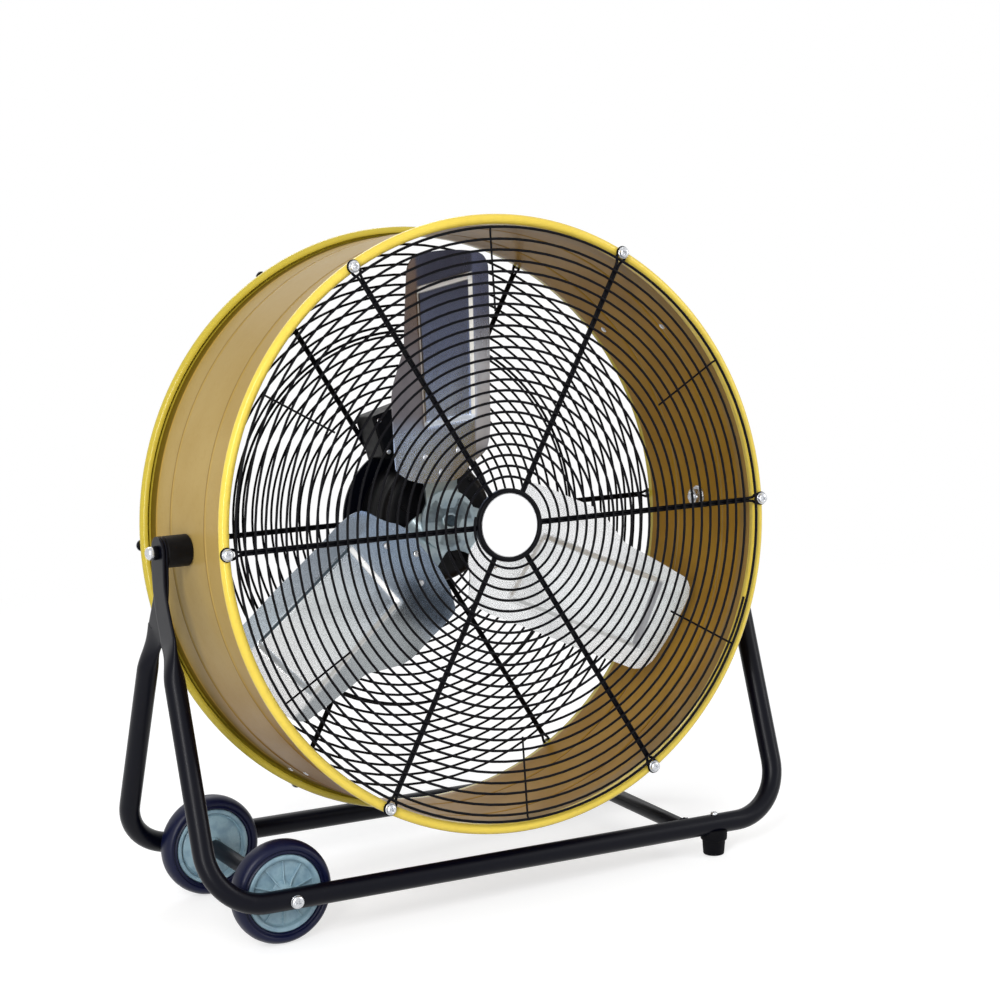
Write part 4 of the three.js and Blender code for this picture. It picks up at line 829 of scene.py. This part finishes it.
# ---- Guards ------------------------------------------------------------------------------------
# Welded steel wire in black powder coat: a spiral laid on six hairpin spokes, front and rear.
# The spokes end in loops round the rim screws.
BEAD_FACE = BEAD_SPACING / 2 + BEAD_RADIUS
SPOKE_Y = BEAD_FACE + 1.8
WIRE_Y = SPOKE_Y + 3.5
WIRE_RADIUS = 1.4
ROD_RADIUS = 1.5
STAY_RADIUS = 1.1
PITCH = 11.2
STEPS_PER_TURN = 96
RIM_WIRE_RADIUS = 309.5  # of its circle
SUPPORT_RING_RADIUS = 208
INNER_RING_RADIUS = 76
black_wire = "black_wire", powder_coat("black_wire_coat", tone(3, 3, 8), 0.45, peel=0.9, depth=0.03,
                                       shine=0.1)
FLAT = (0, 1, 0)


def spiral(start, stop, start_angle, winding, y):
    steps = int((stop - start) / PITCH * STEPS_PER_TURN)
    path = []
    for i in range(steps + 1):
        radius = start + (stop - start) * i / steps
        path.append(polar(radius, start_angle + winding * (radius - start) / PITCH * 360, y))
    return rod(path, WIRE_RADIUS, FLAT, 8)


def hairpin(inner, angle, y, loop):
    """Out, round the rim screw and back."""
    half, flare = 1.5, BEAD_CENTRE_RADIUS - 13
    line = [(inner, half)] + [(flare - 30 + 30 * t, half) for t in (0, 0.5, 0.9)]
    line += [(flare + 7 * t, half + (loop * 0.8 - half) * ease(t, 0, 1)) for t in (0.25, 0.5, 0.75, 1)]
    around = []
    for i in range(13):
        turn = math.radians(128 - 256 * i / 12)
        around.append((BEAD_CENTRE_RADIUS + loop * math.cos(turn), loop * math.sin(turn)))
    whole = line + around + [(along, -aside) for along, aside in reversed(line)]
    return rod([polar(along, angle, y, aside) for along, aside in whole], ROD_RADIUS, FLAT, 10)


def hairpins(inner, y, loop):
    return [hairpin(inner, 60 * i, y, loop) for i in range(6)]


def wire_ring(radius, y, steps=120):
    path = [polar(radius, i / steps * 360, y) for i in range(steps)]
    return swept(path, Vector(FLAT), lambda i: circle(ROD_RADIUS, 10), closed=True)


fit("front_spiral_wire", spiral(41.8, 304.9, 163.0, 1, -WIRE_Y), "drum", black_wire, "front_guard_spiral",
    sharp=60)
bezel_face = -WIRE_Y - WIRE_RADIUS
bezel = [(0, 7), (0, 5.4), (33.7, 5.4), (33.7, 1.4), (34.3, 0.4), (35.6, 0), (37, 0.2), (38.1, 1.1),
         (38.5, 2.4), (38.5, 6.4), (37.9, 7)]
hub_ring = turned([(radius, bezel_face + depth) for radius, depth in reversed(bezel)], 96)
fit("front_spokes_and_hub_ring", shape_of(hub_ring, *hairpins(36.5, -SPOKE_Y, 6.0)), "drum", black_wire,
    "front_guard_spokes", sharp=60)
stays = []
for i in range(6):
    ends = [polar(radius, 60 * i + 30, -SPOKE_Y - rise) for radius, rise in
            ((222.5, 0.7), (306.5, 0.7), (RIM_WIRE_RADIUS, 2.6))]
    stays.append(rod(ends, STAY_RADIUS, FLAT, 8))
fit("front_rim_wire_and_stays", shape_of(wire_ring(RIM_WIRE_RADIUS, -SPOKE_Y - 3.3), *stays), "drum",
    black_wire, "front_guard_rim_wire", sharp=60)
fit("rear_spiral_wire", spiral(72.0, 308.5, 0.0, -1, WIRE_Y - 0.1), "drum", black_wire, "rear_guard_spiral",
    sharp=60)
rings = [wire_ring(radius, SPOKE_Y) for radius in (INNER_RING_RADIUS, SUPPORT_RING_RADIUS)]
rear_frame = shape_of(*rings, *hairpins(INNER_RING_RADIUS, SPOKE_Y, 4.4))
fit("rear_spokes_and_rings", rear_frame, "drum", black_wire, "rear_guard_frame", sharp=60)

# ---- Badge -------------------------------------------------------------------------------------
# A blank white plastic disc, a little domed, pressed into the hub ring.


def white_plastic_finish():
    plastic = Finish("white_badge_plastic")
    cloud = plastic.between(plastic.grain(20, 3), 0.35, 0.7)
    return plastic.surface(
        Base_Color=plastic.blend(cloud, tone(250, 250, 250), tone(243, 244, 245)),
        Roughness=0.32 + cloud * 0.08,
        Normal=plastic.bump(plastic.grain(4, 2), 0.03, 0.3),
    )


badge_back = bezel_face + 5.1
badge = [(0, 0), (32.6, 0), (33.3, 0.6), (33.3, 2.1), (32.6, 2.8), (30, 3), (20, 3.4), (10, 3.6), (0, 3.7)]
disc = turned([(radius, badge_back - depth) for radius, depth in reversed(badge)], 96)
white_plastic = "white_plastic", white_plastic_finish()
fit("blank_badge_disc", disc, "drum", white_plastic, "front_badge")

# ---- Rim screws --------------------------------------------------------------------------------
# Zinc-plated screws with washers clamp the loops of the guard spokes to the rolled rims.
rim_screw = screw(head=5.4, height=3.6, shank=2.5, length=10, washer=6.3, thickness=1.2)
for i in range(6):
    spin = Matrix.Rotation(math.radians(17 + 41 * i), 4, "Y")
    for side, word in ((-1, "front"), (1, "rear")):
        stance = Matrix.Translation(polar(BEAD_CENTRE_RADIUS, 60 * i, side * (SPOKE_Y + ROD_RADIUS + 0.1)))
        stance = stance @ (FORWARD if side < 0 else Matrix.Identity(4)) @ spin
        fit(f"{word}_rim_screw_{i + 1}_and_washer", moved(rim_screw, stance), "drum", zinc,
            f"{word}_rim_screw_{i + 1}")

# ---- Motor and its plate -----------------------------------------------------------------------
# A black cast and drawn-steel motor on a round plate that bolts to the rear guard.
MOTOR_RADIUS = 67.0
MOTOR_FRONT = 40.0
MOUNT_PLATE_THICKNESS = 3.0
MOTOR_REAR = BEAD_FACE - MOUNT_PLATE_THICKNESS - 0.3
cast_black = "cast_housing", powder_coat("black_motor_paint", tone(6, 6, 9), 0.42, peel=1.2, depth=0.05,
                                         shine=0.15)


def end_cover(face, sign):
    """A dished end cover with eight raised pads and four screws; sign points into the motor."""
    rows = [(6.9, 0), (14, 0), (17, 1.2), (19, 2), (50, 2), (54, 1.2), (57, 0.4), (60, 0.9),
            (64, 3.2), (66.6, 6.4), (67.6, 9.4), (67.6, 9.7), (60, 9.7), (60, 7), (22, 7), (22, 10),
            (16.3, 10), (16.3, 3), (6.9, 3)]
    shapes = [turned([(radius, face + sign * depth) for radius, depth in rows][::sign], 72)]
    pad = turned([(0, -1.4), (1, -1.4), (1, 1.4), (0, 1.4)], 24)
    stance = Matrix.Translation((0, face + sign * 1.6, 38)) @ Matrix.Diagonal((3.2, 1, 12, 1))
    shapes += [moved(pad, turn @ stance) for turn in turns_round(8)]
    stance = Matrix.Translation((0, face + sign * 0.9, 58)) @ (FORWARD if sign > 0 else Matrix.Identity(4))
    shapes += [moved(pan_head(3.6, 2.4, 1.0, 24), turn @ stance) for turn in turns_round(4)]
    return shape_of(*shapes)


fit("motor_front_end_cover", end_cover(MOTOR_FRONT, 1), "drum", cast_black, "motor_front_cover")
fit("motor_rear_end_cover", end_cover(MOTOR_REAR, -1), "drum", cast_black, "motor_rear_cover")
into = [(MOTOR_RADIUS - 2.2, 10), (MOTOR_RADIUS, 10), (MOTOR_RADIUS, 20), (MOTOR_RADIUS + 0.5, 21)]
shell = [(radius, MOTOR_FRONT + depth) for radius, depth in into]
shell += [(radius, MOTOR_REAR - depth) for radius, depth in reversed(into)]
fit("motor_drawn_shell", turned(shell, 72), "drum", cast_black, "motor_body")

BOX_ANGLE = 105.0
BOX_DISTANCE = 104.0
BOX_LENGTH, BOX_WIDTH, BOX_DEPTH = 50.0, 56.0, 38.0
BOX_TURN = Matrix.Rotation(math.radians(90 - BOX_ANGLE), 4, "Y")
TAB_LENGTH = 76


def block(width, depth, length, corner):
    """A block with width along X, depth along Y and length along Z, its corners about Y rounded."""
    steps, outline = 7, []
    for cx, cz, start in ((1, 1, 0), (-1, 1, 90), (-1, -1, 180), (1, -1, 270)):
        for i in range(steps + 1):
            turn = math.radians(start + 90 * i / steps)
            outline.append((cx * (width / 2 - corner) + corner * math.cos(turn),
                            cz * (length / 2 - corner) + corner * math.sin(turn)))
    points = [Vector((x, y, z)) for y in (-depth / 2, depth / 2) for x, z in outline]
    return points, prism_faces(len(outline))


plate_y = BEAD_FACE - MOUNT_PLATE_THICKNESS / 2
plate_rear = plate_y + MOUNT_PLATE_THICKNESS / 2
plate_front = plate_y - MOUNT_PLATE_THICKNESS / 2
disc = turned([(16.3, plate_front), (84, plate_front), (84, plate_rear), (16.3, plate_rear)], 96)
stance = Matrix.Translation((0, plate_y, BOX_DISTANCE + (BOX_LENGTH - TAB_LENGTH) / 2))
tab = moved(block(BOX_WIDTH, MOUNT_PLATE_THICKNESS - 0.04, TAB_LENGTH, 4), BOX_TURN @ stance)
stance = Matrix.Translation((0, plate_rear, 50))
bolts = [moved(pan_head(4.4, 2.6, 1.1, 24), turn @ stance) for turn in turns_round(4)]
fit("motor_plate_and_tab", shape_of(disc, tab, *bolts), "drum", black_paint, "motor_mount_plate", bevel=0.4)

# ---- Control box -------------------------------------------------------------------------------
# A moulded box on the plate's tab holds the switch; the knob stands behind the rear guard.
KNOB_DISTANCE = 107.93
KNOB_RADIUS = 15.0
box_rear = plate_front - 0.3
in_box = BOX_TURN @ Matrix.Translation((0, box_rear - BOX_DEPTH / 2, BOX_DISTANCE))
case = moved(block(BOX_WIDTH, BOX_DEPTH, BOX_LENGTH, 4), in_box)
stance = in_box @ Matrix.Translation((0, 0.2 - BOX_DEPTH / 2, 0))
lid = moved(block(BOX_WIDTH - 4, 1.2, BOX_LENGTH - 4, 3), stance)
lid_screws = []
for x, z in ((-21, -18), (21, -18), (-21, 18), (21, 18)):
    stance = in_box @ Matrix.Translation((x, -0.3 - BOX_DEPTH / 2, z)) @ FORWARD
    lid_screws.append(moved(pan_head(2.8, 1.5, 0.7, 24), stance))
fit("control_box_case", shape_of(case, lid), "drum", black_plastic, "control_box", bevel=0.8)
fit("control_box_screws", shape_of(*lid_screws), "drum", zinc)
gland = [(4, -2), (5.4, -2), (5.4, 0), (9, 0), (9, 4), (8.2, 4.4), (8, 5), (7, 8.6), (6.4, 12.2), (4, 12.2)]
gland = turned([(radius, BOX_WIDTH / 2 + y) for radius, y in gland], 40)
fit("cord_gland_rubber", moved(gland, in_box @ SIDEWAYS), "drum", foot_rubber, "cord_gland")

under = WIRE_Y + 3.0
knob = [(0, box_rear - 7), (2, box_rear - 7), (2, under), (KNOB_RADIUS - 1, under), (KNOB_RADIUS, under + 1),
        (KNOB_RADIUS, under + 4.4), (13.8, under + 6.2), (12.6, under + 6.6), (0, under + 6.6)]
grip = moved(block(7, 10, 24.6, 3.2), Matrix.Translation((0, under + 8, 0)))
pointer = moved(block(1.2, 0.4, 8, 0.5), Matrix.Translation((0, under + 13.1, 7)))
stance = BOX_TURN @ Matrix.Translation((0, 0, KNOB_DISTANCE))
fit("speed_knob_grip", moved(shape_of(turned(knob, 48), grip), stance), "knob", black_plastic, "speed_knob",
    bevel=0.4)
fit("speed_knob_pointer", moved(pointer, stance), "knob", white_plastic)

# ---- Fan: shaft, spider and blades -------------------------------------------------------------
# Three pressed aluminium blades riveted to the front of a plated steel spider on the motor shaft.
BLADE_ANGLES = (90.0, 210.0, 330.0)
BLADE_ROOT, BLADE_TIP = 42.5, 291.0
BLADE_THICKNESS = 2.0
CORNER_ROW = BLADE_TIP - 3.0  # where the tip's corners end; between them the tip bulges to BLADE_TIP
BULGE_START = 240
ROOT_CORNER, TIP_CORNER = 4, 16
SOFTENING = 9  # the length over which the corners of the edges are rounded
LEADING = [(42.5, -14), (44, -25), (58, -39), (70, -63), (85, -67.5), (103, -68), (140, -65), (203, -61.5),
           (249, -58), (291, -55)]
TRAILING = [(42.5, 21), (44, 47), (52, 61), (59, 75), (87, 78), (95, 78), (135, 81), (150, 79), (176, 68),
            (189, 62), (221, 61), (249, 59.5), (291, 57)]
PANEL_INNER, PANEL_OUTER = 107.0, 262.0
PANEL_DEPTH = 4.0
SLOPE_WIDTHS = (5, 5, 7, 10)  # of the panel's low, high, inner and outer slope


def blade_depth(r, u):
    """How far behind the drum's middle the blade's surface lies, r out along it and u across it."""
    out = r - 180
    return -0.172 * out - 0.317 * u + 0.00058 * u * out - 0.000295 * u * u


def between_points(value, table):
    for (x0, y0), (x1, y1) in zip(table, table[1:]):
        if value <= x1:
            break
    share = min(max((value - x0) / (x1 - x0), 0), 1)
    return y0 + (y1 - y0) * share


def softened(table, value):
    return sum(between_points(value + SOFTENING * (i / 8 - 0.5), table) for i in range(9)) / 9


def blade_edges(r):
    """The two edges across the blade at r, with rounded corners at its tip and its root."""
    low, high = softened(LEADING, r), softened(TRAILING, r)
    for corner, start in ((TIP_CORNER, r - CORNER_ROW), (ROOT_CORNER, BLADE_ROOT - r)):
        past = min(max(start + corner, 0), corner)
        pull = corner - math.sqrt(corner ** 2 - past ** 2)
        low, high = low + pull, high - pull
    return low, high


def inside_panel(r, u):
    """How far r and u, as numbers or wires, lie inside the panel's low, high, inner and outer edge."""
    out = r - PANEL_INNER
    return u + 45 - out * 0.07, 33 - u + out * 0.08, out + 2 + u * 0.06, PANEL_OUTER - r - u * 0.18


def sheet_shape(rows, columns, corner):
    """A sheet of two skins, -1 and 1, with corner(skin, i, j) at each point of their grids."""
    grid, points, faces = {}, [], []
    for skin in (-1, 1):
        for i in range(rows + 1):
            for j in range(columns + 1):
                grid[skin, i, j] = len(points)
                points.append(corner(skin, i, j))
    for i in range(rows):
        for j in range(columns):
            quad = [(i, j), (i, j + 1), (i + 1, j + 1), (i + 1, j)]
            faces.append([grid[(-1, *place)] for place in quad][::-1])
            faces.append([grid[(1, *place)] for place in quad])
    rim = [(0, j) for j in range(columns)] + [(i, columns) for i in range(rows)]
    rim += [(rows, j) for j in range(columns, 0, -1)] + [(i, 0) for i in range(rows, 0, -1)]
    for here, there in zip(rim, rim[1:] + rim[:1]):
        faces.append([grid[(-1, *there)], grid[(1, *there)], grid[(1, *here)], grid[(-1, *here)]])
    return points, faces


def blade_shape(angle):
    rows, columns = 110, 64
    distances = [BLADE_ROOT + (CORNER_ROW - BLADE_ROOT) * i / rows for i in range(rows + 1)]
    edges = [blade_edges(r) for r in distances]

    def corner(skin, i, j):
        r, (low, high) = distances[i], edges[i]
        u = low + (high - low) * j / columns
        pressed = math.prod(ease(depth, -1, width) for depth, width in zip(inside_panel(r, u), SLOPE_WIDTHS))
        bulge = math.sqrt(BLADE_TIP ** 2 - u * u) - CORNER_ROW
        reach = r + bulge * ease(r, BULGE_START, CORNER_ROW)
        y = blade_depth(reach, u) + PANEL_DEPTH * pressed + skin * BLADE_THICKNESS / 2
        return polar(reach, angle, y, u)

    return sheet_shape(rows, columns, corner)


def sheet_aluminium(name, along, painted_light):
    """Mill-finished sheet, rolled along the blade, dulled unevenly and painted with reflections, highlights
    and shade, also where the die bent it.
    """
    metal = Finish(name)
    inputs = {"Vector": metal.place, "Angle": math.radians(along)}
    metal.place = metal.node("VectorRotate", {"rotation_type": "Y_AXIS"}, inputs)
    r, _, u = metal.axes()
    depths = inside_panel(r, u)
    low, high, inner, outer = [metal.between(depth, -1, width) for depth, width in zip(depths, SLOPE_WIDTHS)]
    lines = metal.grain(3.0, 2, stretch=(40, 4, 1))
    stain = metal.between(metal.grain(34, 4, stretch=(1.8, 1, 1), rough=0.62), 0.38, 0.72)
    smear = metal.between(metal.grain(9, 4, stretch=(5, 1, 1), rough=0.7), 0.5, 0.8)
    far = metal.between(r, 165, 235)
    painted = 0.0
    # Each blade's tones from root to tip, and beside the panel, are painted reflections.
    shade = metal.blend(metal.between(r, 70, 190), tone(*painted_light["root"]), tone(*painted_light["middle"]))
    shade = metal.blend(metal.between(r, 170, 275), shade, tone(*painted_light["tip"]))
    for flange, beside, begins in (("low", depths[0], 60), ("high", depths[1], 90)):
        near_shade, far_shade = painted_light[flange + "_flange"]
        beyond = metal.between(0 - beside, -3, 2) * metal.between(r, begins, begins + 30)
        shade = metal.blend(beyond * 0.9, shade, metal.blend(far, tone(*near_shade), tone(*far_shade)))
        painted = beyond * (1 - far) * painted_light["flange_paint"] + painted
    shade = metal.blend(stain * painted_light["stain"], shade, tone(*[part * 0.72 for part in painted_light["middle"]]))
    shade = metal.blend(smear * 0.14, shade, tone(*[part * 0.86 for part in painted_light["middle"]]))
    # The slopes' colours are painted highlights and painted shade.
    slopes = (("low", low, high * inner * outer), ("high", high, low * inner * outer),
              ("inner", inner, low * high * outer), ("outer", outer, low * high * inner))
    for edge, slope, rest in slopes:
        share = metal.between(slope * (1 - slope), 0.01, 0.13) * rest
        shade = metal.blend(share, shade, tone(*painted_light[edge + "_slope"]))
        painted = share * painted_light["slope_paint"] + painted
    return metal.surface(
        Base_Color=shade,
        Metallic=0.92 - painted,
        Roughness=0.17 + stain * 0.09 + smear * 0.06 + lines * 0.05,
        Normal=metal.bump(lines, 0.02, 0.08),
    )


# Painted reflections of each blade, as screen colours, from root to tip and beside the panel (near the hub,
# near the tip), and painted highlights and shade on the panel's four slopes; how far stains show and how
# much of the metal's mirror is taken away so that the painted colours show.
blade_painted_light = (
    {"root": (204, 222, 255), "middle": (112, 120, 146), "tip": (66, 66, 80),
     "stain": 0.25, "slope_paint": 0.75, "flange_paint": 0.55,
     "low_flange": ((216, 218, 226), (100, 104, 130)), "high_flange": ((124, 116, 118), (118, 98, 84)),
     "low_slope": (255, 252, 244), "high_slope": (220, 214, 208),
     "inner_slope": (226, 236, 250), "outer_slope": (255, 255, 255)},
    {"root": (146, 162, 182), "middle": (240, 245, 246), "tip": (254, 254, 254),
     "stain": 0.12, "slope_paint": 0.5, "flange_paint": 0.0,
     "low_flange": ((136, 146, 158), (190, 202, 212)), "high_flange": ((176, 182, 184), (160, 166, 170)),
     "low_slope": (76, 92, 104), "high_slope": (226, 228, 228),
     "inner_slope": (255, 255, 255), "outer_slope": (214, 222, 230)},
    {"root": (252, 253, 254), "middle": (250, 252, 253), "tip": (232, 236, 236),
     "stain": 0.1, "slope_paint": 0.8, "flange_paint": 0.0,
     "low_flange": ((252, 253, 254), (250, 250, 250)), "high_flange": ((253, 253, 254), (226, 228, 228)),
     "low_slope": (206, 208, 208), "high_slope": (232, 232, 230),
     "inner_slope": (238, 240, 242), "outer_slope": (150, 152, 156)},
)
for number, angle, painted_light in zip((1, 2, 3), BLADE_ANGLES, blade_painted_light):
    finish = "aluminium", sheet_aluminium(f"blade_{number}_aluminium", angle, painted_light)
    fit(f"blade_{number}_pressing", blade_shape(angle), "fan", finish, f"fan_blade_{number}", sharp=60)

HUB_PLANE = 21.0
SPIDER_THICKNESS = 3.0
SPIDER_GAP = 0.3  # between an arm and its blade
ARM_REACH = 92.0
ARM_CORNER = 8


def spider_arm(angle):
    rows, columns = 40, 24

    def corner(skin, i, j):
        r = ARM_REACH * i / rows
        past = max(r - (ARM_REACH - ARM_CORNER), 0)
        half = 28 * (1 - 0.12 * math.sin(min(r / 60, 1) * math.pi))
        half -= ARM_CORNER - math.sqrt(max(ARM_CORNER ** 2 - past ** 2, 0))
        u = 5.9 * ease(r, 10, 50) + half * (2 * j / columns - 1)
        on_blade = blade_depth(r, u) + BLADE_THICKNESS / 2 + SPIDER_GAP + SPIDER_THICKNESS / 2
        y = HUB_PLANE + (on_blade - HUB_PLANE) * ease(r, 14, 34) + skin * SPIDER_THICKNESS / 2
        return polar(r, angle, y, u)

    return sheet_shape(rows, columns, corner)


def spider_plate_finish():
    plate = Finish("plated_spider_steel")
    cloud = plate.between(plate.grain(26, 4, rough=0.6), 0.38, 0.7)
    fine = plate.between(plate.grain(2.2, 3, rough=0.65), 0.45, 0.8)
    shade = plate.blend(cloud, tone(172, 186, 190), tone(140, 156, 166))
    return plate.surface(
        Base_Color=plate.blend(fine * 0.3, shade, tone(118, 132, 144)),
        Metallic=0.85,
        Roughness=0.34 + cloud * 0.14 + fine * 0.06,
        Normal=plate.bump(plate.grain(1.1, 3), 0.03, 0.5),
    )


plate_low, plate_high = HUB_PLANE - SPIDER_THICKNESS / 2, HUB_PLANE + SPIDER_THICKNESS / 2
boss = [(6.5, 16.4), (8.3, 16.4), (9, 17.1), (9, plate_low), (33, plate_low), (33, plate_high),
        (15, plate_high), (15, 33.4), (14.4, 34), (6.5, 34)]
fit("spider_plate", shape_of(turned(boss, 64), *[spider_arm(angle) for angle in BLADE_ANGLES]), "fan",
    ("aluminium", spider_plate_finish()), "fan_spider", sharp=60)

blade_rivets = []
for angle in BLADE_ANGLES:
    for r, u in ((53.3, 6.3), (71.5, 30.9), (75.1, -19.6)):
        front = blade_depth(r, u) - BLADE_THICKNESS / 2
        back = blade_depth(r, u) + BLADE_THICKNESS / 2 + SPIDER_THICKNESS + SPIDER_GAP
        blade_rivets += [
            moved(rivet(3.8, 2.0), Matrix.Translation(polar(r, angle, front, u)) @ FORWARD),
            moved(rivet(3.4, 1.6), Matrix.Translation(polar(r, angle, back, u)))]
fit("blade_rivets", shape_of(*blade_rivets), "fan", zinc)

shaft = [(0, 12.6), (5.6, 12.6), (6.35, 13.4), (6.35, MOTOR_REAR - 1), (0, MOTOR_REAR - 1)]
dark_steel = "steel", zinc_plate("oiled_shaft_steel", tone(64, 76, 84), 0.3)
fit("shaft_turned", turned(shaft, 40), "fan", dark_steel, "motor_shaft")

# ---- Parts inside the motor and the box --------------------------------------------------------
# The frame's own solids stand for these, in plain steel or black plastic.
inner_steel = zinc_plate("laminated_steel", tone(140, 143, 148), 0.4)
inner_looks = {
    "motor_stator": inner_steel, "motor_rotor": inner_steel, "bearing_front": inner_steel,
    "bearing_rear": inner_steel, "speed_switch": black_plastic[1], "run_capacitor": black_plastic[1],
}
for name, material in inner_looks.items():
    materials = frame["nodes"][name].data.materials
    materials.clear()
    materials.append(material)
